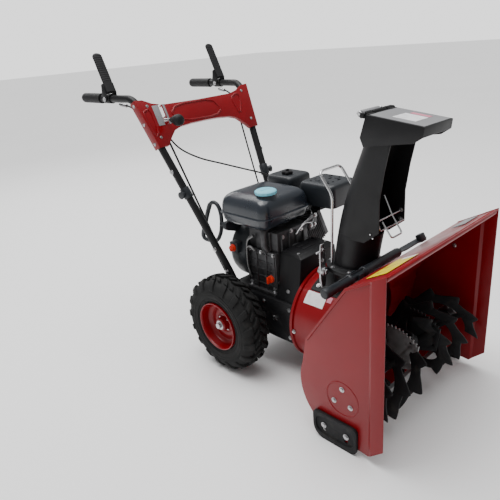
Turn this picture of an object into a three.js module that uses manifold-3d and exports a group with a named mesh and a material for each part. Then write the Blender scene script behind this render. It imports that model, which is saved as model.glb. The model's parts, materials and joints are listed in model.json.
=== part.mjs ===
// A walk-behind two stage snowblower: toothed ribbon augers feed an impeller, which throws the snow up a
// turning chute. A horizontal shaft engine on a frame box drives both the augers and the wheels.
// Millimetres. Y runs from the mouth of the intake to the operator, Z is up from the floor and +X is the
// operator's left. The finished group is moved along Y so that its origin lies under its middle.
import * as THREE from "three";
import { mergeVertices } from "three/addons/utils/BufferGeometryUtils.js";
import Module from "manifold-3d";

// ---- driving dimensions -------------------------------------------------------------------------
const GAP = 0.3; // clearance between pieces that touch
const SHEET = 3; // sheet metal of the intake, covers and frame
const OVERALL_LENGTH = 1292; // intake mouth to grip ends

const INTAKE = { halfWidth: 287, front: 0, topFront: 541, shoulderY: 114, shoulderZ: 480, backY: 244,
  backZ: 293 };
const DRUM_ARC = { y: 122, z: 163, r: 145 }; // round lower back of the intake, seen from the side
const AUGER = { y: 126, z: 156, r: 126, root: 104, inner: 76, lead: 168, hub: 17, shaft: 10 };
const IMPELLER = { z: 200, r: 141, front: 292, back: 392, shaft: 9.5 };
const BARREL = { r: 150, back: 424 }; // round impeller housing
const CHUTE = { y: 283, r: 65, flange: 88, seat: 398 };
const DEFLECTOR = { hingeY: 216, hingeZ: 843, halfWidth: 69 };
const TOOL = { y: 196, z: 428 }; // axis of the clean-out tool
const FRAME = { halfWidth: 125.5, front: 426, back: 722, bottom: 122, top: 258 };
const CRANK_Z = 368;
const BELT_Y = 451; // middle plane of the belt
const WHEEL = { y: 659, r: 165, mid: 207, bead: 84 };
const AXLE_R = 9.5;
const TUBE = { r: 12.5, footX: 138.5, gripX: 247, gripZ: 889, leverY: 1118 };
const DASH = { y: 909, z: 738, halfWidth: 211, lean: Math.atan2(67, 137), flare: 0.149 };
const GRIP = { r: 17, from: 1168, to: OVERALL_LENGTH };
const LEVER_RISE = THREE.MathUtils.degToRad(64.5); // slope of a released clutch lever

const PAINT = {
  red: { color: 0xb4121f, roughness: 0.35, metalness: 0.1 },
  black: { color: 0x17181a, roughness: 0.5, metalness: 0.1 },
  rubber: { color: 0x141414, roughness: 0.85, metalness: 0 },
  steel: { color: 0xb9bcc0, roughness: 0.35, metalness: 0.9 },
  castAlloy: { color: 0x8d9092, roughness: 0.55, metalness: 0.7 },
  tank: { color: 0x2b3138, roughness: 0.3, metalness: 0.2 },
  paleBlue: { color: 0x9fd3e0, roughness: 0.45, metalness: 0 },
  orange: { color: 0xd8371c, roughness: 0.5, metalness: 0 },
};

// ---- solids -------------------------------------------------------------------------------------
const wasm = await Module();
wasm.setup();

// A closed three.js geometry as a solid with its faces out.
function solid(geometry) {
  const bare = geometry.index ? geometry.toNonIndexed() : geometry.clone();
  bare.deleteAttribute("normal");
  bare.deleteAttribute("uv");
  const merged = mergeVertices(bare, 1e-4);
  const corners = merged.index.array;
  const faces = [];
  for (let i = 0; i < corners.length; i += 3) {
    const [a, b, c] = [corners[i], corners[i + 1], corners[i + 2]];
    if (a !== b && b !== c && c !== a) faces.push(a, b, c);
  }
  const make = (list) =>
    new wasm.Manifold(
      new wasm.Mesh({
        numProp: 3,
        vertProperties: merged.attributes.position.array,
        triVerts: new Uint32Array(list),
      }),
    );
  const first = make(faces);
  return first.volume() >= 0 ? first : make(faces.reverse());
}

const join = (first, ...rest) => rest.reduce((sum, next) => sum.add(next), first);
const cut = (first, ...rest) => rest.reduce((left, next) => left.subtract(next), first);
const mirrored = (body) => body.mirror([1, 0, 0]);

const AXES = { X: new THREE.Vector3(1, 0, 0), Y: new THREE.Vector3(0, 1, 0), Z: new THREE.Vector3(0, 0,
  1) };
const basis = (a, b, c) => new THREE.Matrix4().makeBasis(a, b, c);
// How an outline's own x, y and depth lie for each direction of extrusion.
const EXTRUDED = {
  X: basis(AXES.Y, AXES.Z, AXES.X),
  Y: basis(AXES.X, AXES.Z, AXES.Y.clone().negate()),
  Z: basis(AXES.X, AXES.Y, AXES.Z),
};
// How a lathe's radius, height and third direction lie for each axis of turning.
const TURNED = {
  X: basis(AXES.Y, AXES.X, AXES.Z.clone().negate()),
  Y: new THREE.Matrix4(),
  Z: basis(AXES.X, AXES.Z, AXES.Y.clone().negate()),
};

function asShape(outline) {
  if (outline instanceof THREE.Shape) return outline;
  return new THREE.Shape(outline.map(([x, y]) => new THREE.Vector2(x, y)));
}

// An outline extruded along an axis, from one coordinate to another. X takes (Y, Z) points, Y takes (X, Z)
// points and Z takes (X, Y) points.
function plate(axis, outline, from, to, curveSegments = 6) {
  const settings = { depth: to - from, bevelEnabled: false, curveSegments };
  const geometry = new THREE.ExtrudeGeometry(asShape(outline), settings).applyMatrix4(EXTRUDED[axis]);
  const start = AXES[axis].clone().multiplyScalar(axis === "Y" ? to : from);
  return solid(geometry.translate(start.x, start.y, start.z));
}

const box = (x0, x1, y0, y1, z0, z1) =>
  solid(new THREE.BoxGeometry(x1 - x0, y1 - y0, z1 - z0).translate((x0 + x1) / 2, (y0 + y1) / 2,
    (z0 + z1) / 2));

// A profile of [position along the axis, radius] pairs turned about an axis through `centre`, which
// gives the
// other two coordinates in their own order.
function turned(axis, profile, centre, segments = 16) {
  const points = profile.map(([along, radius]) => new THREE.Vector2(radius, along));
  const geometry = new THREE.LatheGeometry(points, segments).applyMatrix4(TURNED[axis]);
  const [a, b] = centre;
  const move = { X: [0, a, b], Y: [a, 0, b], Z: [a, b, 0] }[axis];
  return solid(geometry.translate(...move));
}

const rod = (axis, r, from, to, centre, segments = 16) =>
  turned(axis, [[from, 0], [from, r], [to, r], [to, 0]], centre, segments);

const ring = (axis, inner, outer, from, to, centre, segments = 16) =>
  turned(axis, [[from, inner], [from, outer], [to, outer], [to, inner], [from, inner]], centre, segments);

// A path whose stations are exactly the given points, so that straight runs cost no extra faces.
class StationPath extends THREE.Curve {
  constructor(points) {
    super();
    this.points = points;
  }
  getPoint(t) {
    const place = Math.min(t, 1) * (this.points.length - 1);
    const i = Math.min(Math.floor(place + 1e-9), this.points.length - 2);
    return this.points[i].clone().lerp(this.points[i + 1], place - i);
  }
  getPointAt(u) {
    return this.getPoint(u);
  }
  getTangentAt(u) {
    const i = Math.round(u * (this.points.length - 1));
    const before = this.points[Math.max(i - 1, 0)];
    const after = this.points[Math.min(i + 1, this.points.length - 1)];
    return after.clone().sub(before).normalize();
  }
}

// The corners of a route rounded with short curves: each inner point is replaced by `steps` + 1 stations.
function rounded(route, bend, steps = 5) {
  const points = route.map((p) => new THREE.Vector3(...p));
  const stations = [points[0]];
  for (let i = 1; i < points.length - 1; i++) {
    const toward = (q) => {
      const leg = q.clone().sub(points[i]);
      return points[i].clone().add(leg.setLength(Math.min(bend, leg.length() * 0.45)));
    };
    const corner = new THREE.QuadraticBezierCurve3(toward(points[i - 1]), points[i], toward(points[i + 1]));
    stations.push(...corner.getPoints(steps));
  }
  stations.push(points[points.length - 1]);
  return stations;
}

// A round bar or tube along a list of stations.
function bar(stations, r, sides = 10) {
  const section = asShape(arcPoints(0, 0, r, 0, 360 - 360 / sides, sides - 1));
  const settings = { steps: stations.length - 1, bevelEnabled: false,
    extrudePath: new StationPath(stations) };
  return solid(new THREE.ExtrudeGeometry(section, settings));
}

const bentBar = (route, r, bend, sides = 10, steps = 5) => bar(rounded(route, bend, steps), r, sides);

// A smooth cable through a few points.
function cable(route, r, steps, sides = 8) {
  const curve = new THREE.CatmullRomCurve3(route.map((p) => new THREE.Vector3(...p)));
  return bar(curve.getSpacedPoints(steps), r, sides);
}

// A closed skin over rings of points, with a flat cap at each end. Every ring has the same number of
// points.
function loft(rings) {
  const count = rings[0].length;
  const points = rings.flat();
  const faces = [];
  for (let k = 0; k < rings.length - 1; k++) {
    for (let i = 0; i < count; i++) {
      const j = (i + 1) % count;
      const [a, b, c, d] = [k * count + i, k * count + j, (k + 1) * count + j, (k + 1) * count + i];
      faces.push(a, b, c, a, c, d);
    }
  }
  const cap = (start, flip) => {
    for (let i = 1; i < count - 1; i++) {
      faces.push(start, start + (flip ? i + 1 : i), start + (flip ? i : i + 1));
    }
  };
  cap(0, true);
  cap((rings.length - 1) * count, false);
  const geometry = new THREE.BufferGeometry();
  geometry.setAttribute("position", new THREE.Float32BufferAttribute(points.flat(), 3));
  geometry.setIndex(faces);
  return solid(geometry);
}

// A polygon with each edge moved inwards by `depth`. The points run either way round.
function inset(points, depth) {
  const area = points.reduce((sum, [x, y], i) => {
    const [u, v] = points[(i + 1) % points.length];
    return sum + (x * v - u * y) / 2;
  }, 0);
  const side = Math.sign(area) * depth;
  return points.map(([x, y], i) => {
    const [px, py] = points[(i + points.length - 1) % points.length];
    const [nx, ny] = points[(i + 1) % points.length];
    const before = new THREE.Vector2(x - px, y - py).normalize();
    const after = new THREE.Vector2(nx - x, ny - y).normalize();
    const turn = 1 + before.dot(after);
    return [x - (side * (before.y + after.y)) / turn, y + (side * (before.x + after.x)) / turn];
  });
}

function polar(cx, cy, r, degrees) {
  const angle = THREE.MathUtils.degToRad(degrees);
  return [cx + r * Math.cos(angle), cy + r * Math.sin(angle)];
}

const arcPoints = (cx, cy, r, from, to, steps) =>
  Array.from({ length: steps + 1 }, (_, i) => polar(cx, cy, r, from + ((to - from) * i) / steps));

// A rounded rectangle as a ring of points at height z.
function roundedRing(x0, x1, y0, y1, radius, z, steps = 4) {
  const corners = [[x1, y1, 0], [x0, y1, 90], [x0, y0, 180], [x1, y0, 270]];
  return corners.flatMap(([x, y, angle]) => {
    const cx = x === x1 ? x - radius : x + radius;
    const cy = y === y1 ? y - radius : y + radius;
    return arcPoints(cx, cy, radius, angle, angle + 90, steps).map(([u, v]) => [u, v, z]);
  });
}

// ---- assembly -----------------------------------------------------------------------------------
const snowblower = new THREE.Group();

function add(name, body, paint) {
  const { vertProperties, triVerts } = body.getMesh();
  const geometry = new THREE.BufferGeometry();
  geometry.setAttribute("position", new THREE.BufferAttribute(new Float32Array(vertProperties), 3));
  geometry.setIndex(new THREE.BufferAttribute(new Uint32Array(triVerts), 1));
  const mesh = new THREE.Mesh(geometry, new THREE.MeshStandardMaterial({ ...paint, flatShading: true }));
  mesh.name = name;
  snowblower.add(mesh);
}

// The same piece on both sides: drawn for the operator's left (+X), mirrored for the right.
function addPair(name, body, paint) {
  add(`${name}_left`, body, paint);
  add(`${name}_right`, mirrored(body), paint);
}

// ---- intake -------------------------------------------------------------------------------------
const intakeOutline = [
  [INTAKE.front, 57],
  [INTAKE.front, INTAKE.topFront],
  [INTAKE.shoulderY, INTAKE.shoulderZ],
  [INTAKE.backY, INTAKE.backZ],
  ...arcPoints(DRUM_ARC.y, DRUM_ARC.z, DRUM_ARC.r, 20, -100, 10),
  [46, 15],
];
const intakeInner = INTAKE.halfWidth - SHEET - GAP; // the drum ends here, inside the side plates
const intakeFilled = plate("X", inset(intakeOutline, 1.2), -400, 400); // everything the drum encloses

function drum() {
  const outer = plate("X", inset(intakeOutline, 1.5), -intakeInner, intakeInner);
  const hollow = plate("X", inset(intakeOutline, 1.5 + SHEET), -400, 400);
  const mouth = box(-400, 400, -10, 6, -10, 530);
  const underside = box(-400, 400, -10, 158, -10, 60);
  const throat = rod("Y", BARREL.r - 4, 150, 320, [0, IMPELLER.z], 30);
  const lip = rod("X", 7, -intakeInner, intakeInner, [8.5, 529], 12);
  return join(cut(outer, hollow, mouth, underside, throat), lip);
}
add("drum", drum(), PAINT.red);

const SHOE_BOLTS = [112, 186]; // the studs that hold each skid shoe, along Y

// The front band of each side plate stands 5 mm proud of the rest, behind a short slope.
function sidePlate() {
  const [inner, outer] = [INTAKE.halfWidth - SHEET, INTAKE.halfWidth];
  const section = [[inner, 44], [inner + 5, 36], [inner + 5, -1], [outer + 5, -1], [outer + 5, 36.5],
    [outer, 44.5],
    [outer, 300], [inner, 300]];
  const bearingHole = rod("X", 13, 200, 400, [AUGER.y, AUGER.z], 14);
  const stud = (y) => join(
    rod("X", 4.5, inner + 1, outer + 6, [y, 43], 8),
    rod("X", 9, outer + 4.5, outer + 8.5, [y, 43], 8),
  );
  const sheet = cut(plate("Z", section, 0, 560).intersect(plate("X", intakeOutline, 200, 400)),
    bearingHole);
  return join(sheet, ...SHOE_BOLTS.map(stud));
}
addPair("side_plate", sidePlate(), PAINT.red);

add("scraper_bar", plate("X", [[157, 8], [161, 5], [206, 31], [202, 35]], -intakeInner, intakeInner),
  PAINT.steel);

function skidShoe() {
  const front = 76;
  const back = 220;
  const shoe = new THREE.Shape();
  shoe.moveTo(front + 24, 0);
  shoe.lineTo(back - 34, 0);
  shoe.quadraticCurveTo(back, 6, back, 42);
  shoe.lineTo(back, 68);
  shoe.quadraticCurveTo(back, 84, back - 16, 84);
  shoe.lineTo(front + 16, 84);
  shoe.quadraticCurveTo(front, 84, front, 68);
  shoe.lineTo(front, 24);
  shoe.quadraticCurveTo(front, 0, front + 24, 0);
  const body = plate("X", shoe, INTAKE.halfWidth + GAP, INTAKE.halfWidth + 9);
  const pocket = box(INTAKE.halfWidth + 4, 320, front + 9, back - 9, 14, 76);
  const slot = (y) => box(250, 320, y - 5, y + 5, 22, 48);
  return cut(body, pocket, ...SHOE_BOLTS.map(slot));
}
addPair("skid_shoe", skidShoe(), PAINT.black);

const augerCentre = [AUGER.y, AUGER.z];
const bearing = join(
  ring("X", AUGER.shaft + GAP, 34, INTAKE.halfWidth - SHEET - 6, INTAKE.halfWidth - SHEET - GAP,
    augerCentre, 14),
  ring("X", AUGER.shaft + GAP, 12.5, INTAKE.halfWidth - SHEET - 6, INTAKE.halfWidth + 2, augerCentre, 14),
);
addPair("auger_bearing", bearing, PAINT.steel);

// ---- augers -------------------------------------------------------------------------------------
const wormWheelTeeth = 14;
const wormWheel = Array.from({ length: wormWheelTeeth * 4 }, (_, i) => {
  const angle = (2 * Math.PI * i) / (wormWheelTeeth * 4);
  const r = i % 4 < 2 ? 28 : 25;
  return [AUGER.y + r * Math.cos(angle), AUGER.z + r * Math.sin(angle)];
});
add("auger_shaft", join(rod("X", AUGER.shaft, -288, 288, augerCentre, 12), plate("X", wormWheel, -9, 9)),
  PAINT.steel);

// One helical ribbon on the left of the gearbox. Its outer edge carries saw teeth that rise slowly and
// drop fast.
const TOOTH_TURN = 40; // degrees from tooth to tooth
const RIBBON_TURN = 440; // degrees of one ribbon
function ribbon(startAngle) {
  const stations = [];
  for (let turn = 0; turn <= RIBBON_TURN; turn += TOOTH_TURN) {
    stations.push([turn, AUGER.root], [turn + 24, AUGER.r], [turn + 30, AUGER.root]);
  }
  const rings = stations.map(([turn, outer]) => {
    const angle = THREE.MathUtils.degToRad(startAngle + turn);
    const x = 39 + (AUGER.lead * turn) / 360;
    const at = (r, dx) => [x + dx, AUGER.y + r * Math.cos(angle), AUGER.z + r * Math.sin(angle)];
    return [at(AUGER.inner, -2), at(outer, -2), at(outer, 2), at(AUGER.inner, 2)];
  });
  return loft(rings);
}

// A spoke from the hub to the ribbon that started at `startAngle`, at `turn` degrees along it.
function spoke(startAngle, turn) {
  const x = 39 + (AUGER.lead * turn) / 360;
  const length = AUGER.inner + 14 - AUGER.hub + 2;
  const geometry = new THREE.BoxGeometry(6, length, 16).translate(0, AUGER.hub - 2 + length / 2, 0);
  geometry.rotateX(THREE.MathUtils.degToRad(startAngle + turn)).translate(x, AUGER.y, AUGER.z);
  return solid(geometry);
}

// The flat paddle beside the gearbox, with a serrated rim and three holes.
function paddle() {
  const rim = [];
  for (let angle = 84; angle <= 132; angle += 6) {
    rim.push(polar(AUGER.y, AUGER.z, 119, angle), polar(AUGER.y, AUGER.z, 114, angle + 3));
  }
  const outline = [[AUGER.y + 22, AUGER.z], ...rim, [38, 238], [48, 160], [AUGER.y - 30, AUGER.z - 12],
    [AUGER.y, AUGER.z - 15]];
  const hole = (y, z) => rod("X", 4.5, 40, 90, [y, z], 8);
  return cut(plate("X", outline, 58, 62), hole(64, 238), hole(60, 208), hole(58, 178));
}

function auger() {
  const starts = [96, 276];
  const hub = rod("X", AUGER.hub, 32, 272, augerCentre, 12);
  const parts = starts.flatMap((start) => [ribbon(start), ...[40, 220, 410].map((turn) => spoke(start,
    turn))]);
  return cut(join(hub, ...parts, paddle()), rod("X", AUGER.shaft + GAP, 0, 300, augerCentre, 12));
}
addPair("auger", auger(), PAINT.black);

// ---- auger gearbox, impeller and its shaft ------------------------------------------------------
const impellerCentre = [0, IMPELLER.z];
const gearbox = cut(
  join(
    rod("X", 40, -20, 20, augerCentre, 22),
    rod("X", 18, -31, 31, augerCentre, 12),
    rod("Y", 23, 84, 176, impellerCentre, 16),
  ),
  rod("X", 33, -12, 12, augerCentre, 16),
  rod("Y", 17.5, 92, 160, impellerCentre, 12),
  rod("X", AUGER.shaft + 0.7, -60, 60, augerCentre, 12),
  rod("Y", IMPELLER.shaft + 0.7, 150, 200, impellerCentre, 12),
);
add("auger_gearbox", gearbox, PAINT.castAlloy);

const impellerShaft = join(
  rod("Y", IMPELLER.shaft, 95, 436, impellerCentre, 12),
  rod("Y", 14.5, 104, 148, impellerCentre, 12),
);
add("impeller_shaft", impellerShaft, PAINT.steel);

function impeller() {
  const hub = rod("Y", 22, IMPELLER.front, IMPELLER.back, impellerCentre, 14);
  const back = rod("Y", 96, IMPELLER.back - 5, IMPELLER.back, impellerCentre, 20);
  const blade = (turn) => {
    const height = IMPELLER.r - 12;
    const geometry = new THREE.BoxGeometry(5, IMPELLER.back - IMPELLER.front - 2, height);
    geometry.translate(0, (IMPELLER.front + IMPELLER.back) / 2,
      12 + height / 2).rotateY((turn * Math.PI) / 2 + 0.3);
    return solid(geometry.translate(0, 0, IMPELLER.z));
  };
  const bore = rod("Y", IMPELLER.shaft + GAP, 250, 450, impellerCentre, 12);
  return cut(join(hub, back, ...[0, 1, 2, 3].map(blade)), bore);
}
add("impeller", impeller(), PAINT.red);

const barrelShape = cut(
  join(
    cut(
      turned("Y", [[190, 0], [190, BARREL.r], [BARREL.back - 10, BARREL.r], [BARREL.back - 10,
        BARREL.r + 6],
        [BARREL.back, BARREL.r + 6], [BARREL.back, 0]], impellerCentre, 30),
      rod("Y", BARREL.r - SHEET, 180, BARREL.back - 6, impellerCentre, 30),
    ),
    rod("Y", 28, BARREL.back - 20, BARREL.back - 4, impellerCentre, 14),
  ),
  rod("Y", IMPELLER.shaft + GAP, 380, 440, impellerCentre, 12),
  intakeFilled,
  rod("Z", CHUTE.r - 3, 280, 420, [0, CHUTE.y], 24),
);
add("impeller_housing", barrelShape, PAINT.red);

// ---- chute --------------------------------------------------------------------------------------
const chuteCentre = [0, CHUTE.y];
const saddle = ring("Y", BARREL.r + GAP, BARREL.r + 4, 240, 384, impellerCentre, 30)
  .intersect(box(-92, 92, 240, 384, 290, 400));
const chuteBase = cut(
  join(
    ring("Z", CHUTE.r - 3, CHUTE.r + 2, 300, CHUTE.seat, chuteCentre, 24),
    ring("Z", CHUTE.r - 3, CHUTE.flange, CHUTE.seat - 6, CHUTE.seat, chuteCentre, 24),
    saddle,
  ),
  rod("Y", BARREL.r + GAP, 180, 440, impellerCentre, 30),
  intakeFilled,
  rod("Z", CHUTE.r - 3, 280, 420, chuteCentre, 24),
);
add("chute_base", chuteBase, PAINT.black);

// Middle of the channel's round back at height z: it leans forward more and more towards the top.
const chuteSpine = new THREE.CatmullRomCurve3(
  [[404, 283], [470, 273], [565, 252], [657, 221], [740, 188], [845, 149]].map(([z,
    y]) => new THREE.Vector3(0, y, z)),
);
const spineAt = (z) => {
  const reach = chuteSpine.getPoints(120);
  const next = reach.findIndex((p) => p.z >= z);
  const [low, high] = [reach[Math.max(next - 1, 0)], reach[Math.max(next, 1)]];
  return low.y + ((high.y - low.y) * (z - low.z)) / (high.z - low.z);
};

function chute() {
  const channelRing = (z, front, thin) => {
    const r = CHUTE.r - thin;
    const back = arcPoints(0, spineAt(z), r, 0, 180, 9).map(([x, y]) => [x, y, z]);
    return [...back, [-r, front, z], [r, front, z]];
  };
  const tubeRing = (z, thin) =>
    arcPoints(0, spineAt(z), CHUTE.r - thin, 0, 340, 17).map(([x, y]) => [x, y, z]);
  const floor = CHUTE.seat + GAP;
  const outerChannel = loft([[500, 214], [537, 166], [626, 166], [740, 145], [840, 122]]
    .map(([z, front]) => channelRing(z, front, 0)));
  const innerChannel = loft([505, 537, 626, 740, 845].map((z) => channelRing(z, 100, 3)));
  const outerTube = loft([floor, 450, 508].map((z) => tubeRing(z, 0)));
  const innerTube = loft([floor - 1, 450, 509].map((z) => tubeRing(z, 3)));
  const flange = ring("Z", CHUTE.r - 3, CHUTE.flange, floor, floor + 5, chuteCentre, 18);
  const slope = plate("X", [[90, 740], [130, 768], [222, 834], [300, 834], [300, 900], [90, 900]], -80, 80);
  const { hingeY, hingeZ } = DEFLECTOR;
  const lug = join(box(-28, 28, 206, 224, 792, 838), rod("X", 9, -30, 30, [hingeY, hingeZ], 14));
  const pin = rod("X", 5, -64, 64, [hingeY, hingeZ], 12);
  return join(cut(join(outerChannel, outerTube, flange), innerChannel, innerTube, slope), lug, pin);
}
add("chute", chute(), PAINT.black);

function deflector() {
  const { hingeY, hingeZ, halfWidth } = DEFLECTOR;
  const side = [[206, 845], [46, 823], [49, 799], [74, 783], [214, 764], [224, 787]];
  const hood = plate("X", side, -halfWidth, halfWidth);
  // with a lip at the front
  const roof = [[260, 849], [206, 841.5], [49.2, 819.9], [52.2, 797.3], [30, 797.3]];
  const room = plate("X", [...roof, [30, 700], [260, 700]], -halfWidth + SHEET, halfWidth - SHEET);
  const sleeve = (from, to) => rod("X", 9, from, to, [hingeY, hingeZ], 14);
  const pinHole = rod("X", 5 + GAP, -80, 80, [hingeY, hingeZ], 12);
  const web = (from, to) => box(from, to, 198, 212, 840, 846);
  return cut(join(cut(hood, room), sleeve(34, 62), sleeve(-62, -34), web(34, 62), web(-62, -34)), pinHole);
}
add("deflector", deflector(), PAINT.black);

const guardWire = 2.5;
const chuteGuard = join(
  bentBar([[61.5, 175, 568], [-57, 175, 568], [-57, 168, 541], [61.5, 168, 541]], guardWire, 9, 8, 2),
  bentBar([[12, 200, 619], [12, 174, 565], [12, 142, 522], [-40, 142, 522], [-40, 172, 562]], guardWire,
    9, 8, 2),
);
add("chute_guard", chuteGuard, PAINT.steel);

const handleFoot = CHUTE.seat + GAP + 5 + GAP;
const chuteHandle = bentBar(
  [[-50, 335, handleFoot], [-50, 329, 614], [-50, 375, 677], [50, 375, 677], [50, 329, 614], [50, 335,
    handleFoot]],
  4, 22, 8, 3);
add("chute_handle", chuteHandle, PAINT.steel);

const latch = join(
  box(-104, -82, 334, 338, 330, 480),
  rod("Y", 13, 326, 346, [-93, 396], 16),
  box(-104, -98, 334, 356, 410, 470),
  rod("X", 4, -112, -82, [342, 455], 10),
).subtract(rod("Y", BARREL.r + 4 + GAP, 300, 400, impellerCentre, 40));
add("chute_latch", latch, PAINT.steel);

// ---- clean-out tool -----------------------------------------------------------------------------
const toolCentre = [TOOL.y, TOOL.z];
const cleanOutTool = join(
  turned("X", [[-264, 0], [-264, 12], [-258, 14], [-238, 14], [-236, 13], [-160, 13], [-158, 15.5],
    [-150, 15.5],
    [-148, 11], [-96, 11], [-94, 15.5], [-84, 15.5], [-82, 14], [82, 14], [90, 10], [90, 0]], toolCentre,
      14),
  box(80, 240, TOOL.y - 13, TOOL.y + 12, TOOL.z - 2, TOOL.z + 2),
);
add("clean_out_tool", cleanOutTool, PAINT.black);
const toolClip = cut(
  box(-132, -114, TOOL.y - 17, TOOL.y + 15, 370, TOOL.z + 10),
  intakeFilled,
  rod("X", 11 + GAP, -150, -100, toolCentre, 14),
  box(-150, -100, TOOL.y - 11 - GAP, TOOL.y + 11 + GAP, TOOL.z, 480),
);
add("tool_clip", toolClip, PAINT.black);

// ---- belt drive ---------------------------------------------------------------------------------
// A grooved pulley: rims of radius r either side of a groove 8 mm deep.
const pulley = (r, centre) =>
  turned("Y", [[BELT_Y - 11, 0], [BELT_Y - 11, r], [BELT_Y - 7, r], [BELT_Y - 7, r - 8], [BELT_Y + 7,
    r - 8],
    [BELT_Y + 7, r], [BELT_Y + 11, r], [BELT_Y + 11, 0]], centre, 22);
const PULLEY = { impeller: 70, crank: 28 };
const crankCentre = [0, CRANK_Z];
const impellerPulley = cut(pulley(PULLEY.impeller, impellerCentre), rod("Y", 5, 400, 500, impellerCentre,
  12));
add("impeller_pulley", impellerPulley, PAINT.steel);
add("crank_pulley", join(pulley(PULLEY.crank, crankCentre), rod("Y", 10, BELT_Y, 556, crankCentre, 12)),
  PAINT.steel);

// A belt lying in both grooves, `raise` above their bottoms.
function beltOutline(raise) {
  const [low, high] = [PULLEY.impeller - 8 + raise, PULLEY.crank - 8 + raise];
  const lean = THREE.MathUtils.radToDeg(Math.asin((low - high) / (CRANK_Z - IMPELLER.z)));
  return [
    ...arcPoints(0, CRANK_Z, high, lean, 180 - lean, 7),
    ...arcPoints(0, IMPELLER.z, low, 180 - lean, 360 + lean, 14),
  ];
}
const belt = cut(plate("Y", beltOutline(7), BELT_Y - 6, BELT_Y + 6), plate("Y", beltOutline(1.2),
  BELT_Y - 9, BELT_Y + 9));
add("belt", belt, PAINT.rubber);

// The tensioner arm swings its roller against the belt's outer run.
const IDLER = { pivotX: 100, pivotZ: 215, x: 74, z: 290 };
const idlerArm = join(
  rod("Y", 16, BELT_Y - 6, BELT_Y + 6, [IDLER.x, IDLER.z], 14),
  rod("Y", 5, BELT_Y - 6, BELT_Y + 14, [IDLER.x, IDLER.z], 10),
  plate("Y", [[IDLER.x - 8, IDLER.z + 4], [IDLER.x + 7, IDLER.z + 8], [IDLER.pivotX + 9, IDLER.pivotZ],
    [IDLER.pivotX - 9, IDLER.pivotZ - 4]], BELT_Y + 12, BELT_Y + 16),
  rod("Y", 10, BELT_Y + 8, BELT_Y + 20, [IDLER.pivotX, IDLER.pivotZ], 14),
);
add("idler_arm", idlerArm, PAINT.steel);

const coverOutline = [[-84, 400], [-76, 412], [76, 412], [84, 400], [99, 300], [116, FRAME.top + GAP],
  [-116, FRAME.top + GAP],
  [-99, 300]];
const coverInner = [[-81, 399], [-75, 409], [75, 409], [81, 399], [96, 299.5], [112, 250], [-112, 250],
  [-96, 299.5]];
const beltCover = cut(
  plate("Y", coverOutline, 427, 513),
  plate("Y", coverInner, 430, 510),
  rod("Y", 14, 500, 530, crankCentre, 16),
  plate("X", [[400, 392], [432, 404], [448, 420], [400, 420]], -120, 120),
);
add("belt_cover", beltCover, PAINT.black);

// ---- frame box and friction drive ---------------------------------------------------------------
const DRIVE = { z: 190, discY: 560, wheelR: 45 };
const hexY = DRIVE.discY - DRIVE.wheelR - GAP;
const SHIFT_ROD = { top: [-150, 977, 795], foot: [-115, 702, 250] };
const frameBox = cut(
  box(-FRAME.halfWidth, FRAME.halfWidth, FRAME.front, FRAME.back, FRAME.bottom, FRAME.top),
  box(-FRAME.halfWidth + SHEET, FRAME.halfWidth - SHEET, FRAME.front + SHEET, FRAME.back - SHEET, 100,
    FRAME.top - SHEET),
  box(-106, 106, 432, 506, 240, 280),
  rod("Y", 16, 400, 440, impellerCentre, 16),
  rod("X", AXLE_R + GAP, -200, 200, [WHEEL.y, WHEEL.r], 16),
  rod("X", 8 + GAP, -200, 200, [hexY, DRIVE.z], 12),
  rod("Y", 8 + GAP, 700, 740, [0, DRIVE.z], 12),
  box(SHIFT_ROD.foot[0] - 7, SHIFT_ROD.foot[0] + 8, SHIFT_ROD.foot[1] - 14, SHIFT_ROD.foot[1] + 17, 240,
    280),
);
add("frame_box", frameBox, PAINT.black);

const driveDisc = join(
  rod("Y", 56, DRIVE.discY, DRIVE.discY + 8, [0, DRIVE.z], 22),
  rod("Y", 8, DRIVE.discY, 721, [0, DRIVE.z], 12),
);
add("drive_disc", driveDisc, PAINT.castAlloy);
add("hex_shaft", rod("X", 8, -128, 128, [hexY, DRIVE.z], 6), PAINT.steel);
add("friction_wheel", ring("X", 8 + GAP, DRIVE.wheelR - GAP, -34, -22, [hexY, DRIVE.z], 20), PAINT.rubber);

// ---- wheels -------------------------------------------------------------------------------------
const wheelCentre = [WHEEL.y, WHEEL.r];
const across = (profile) => profile.map(([x, r]) => [WHEEL.mid + x, r]);
add("axle", rod("X", AXLE_R, -252, 252, wheelCentre, 12), PAINT.steel);
const tyreSide = [[44, WHEEL.bead], [51, 122], [45, 153], [27, 163]];
const tyreProfile = [...tyreSide, [0, WHEEL.r], ...tyreSide.map(([x, r]) => [-x, r]).reverse(),
  tyreSide[0]];
addPair("tyre", turned("X", across(tyreProfile), wheelCentre, 22), PAINT.rubber);
const barrelR = WHEEL.bead - GAP;
const rimProfile = [[51, 79], [18, 77], [10, 60], [10, 28], [34, 26], [34, AXLE_R + GAP], [-46,
  AXLE_R + GAP],
  [-46, 22], [5, 24], [5, 60], [12, 79], [-51, 79], [-51, barrelR], [51, barrelR], [51, 79]];
addPair("rim", turned("X", across(rimProfile), wheelCentre, 22), PAINT.red);

// ---- engine -------------------------------------------------------------------------------------
const engineFloor = FRAME.top + GAP;
const crankcase = cut(
  join(
    box(-98, 62, 520, 650, engineFloor, 476),
    box(-110, 80, 516, 650, engineFloor, 268),
    rod("Y", 44, 514, 522, crankCentre, 24),
  ),
  rod("Y", 10 + GAP, 500, 560, crankCentre, 16),
  box(-120, -92, 500, 640, 400, 500),
  box(-120, -92, 560, 640, 350, 500),
);
add("crankcase", crankcase, PAINT.castAlloy);

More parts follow.
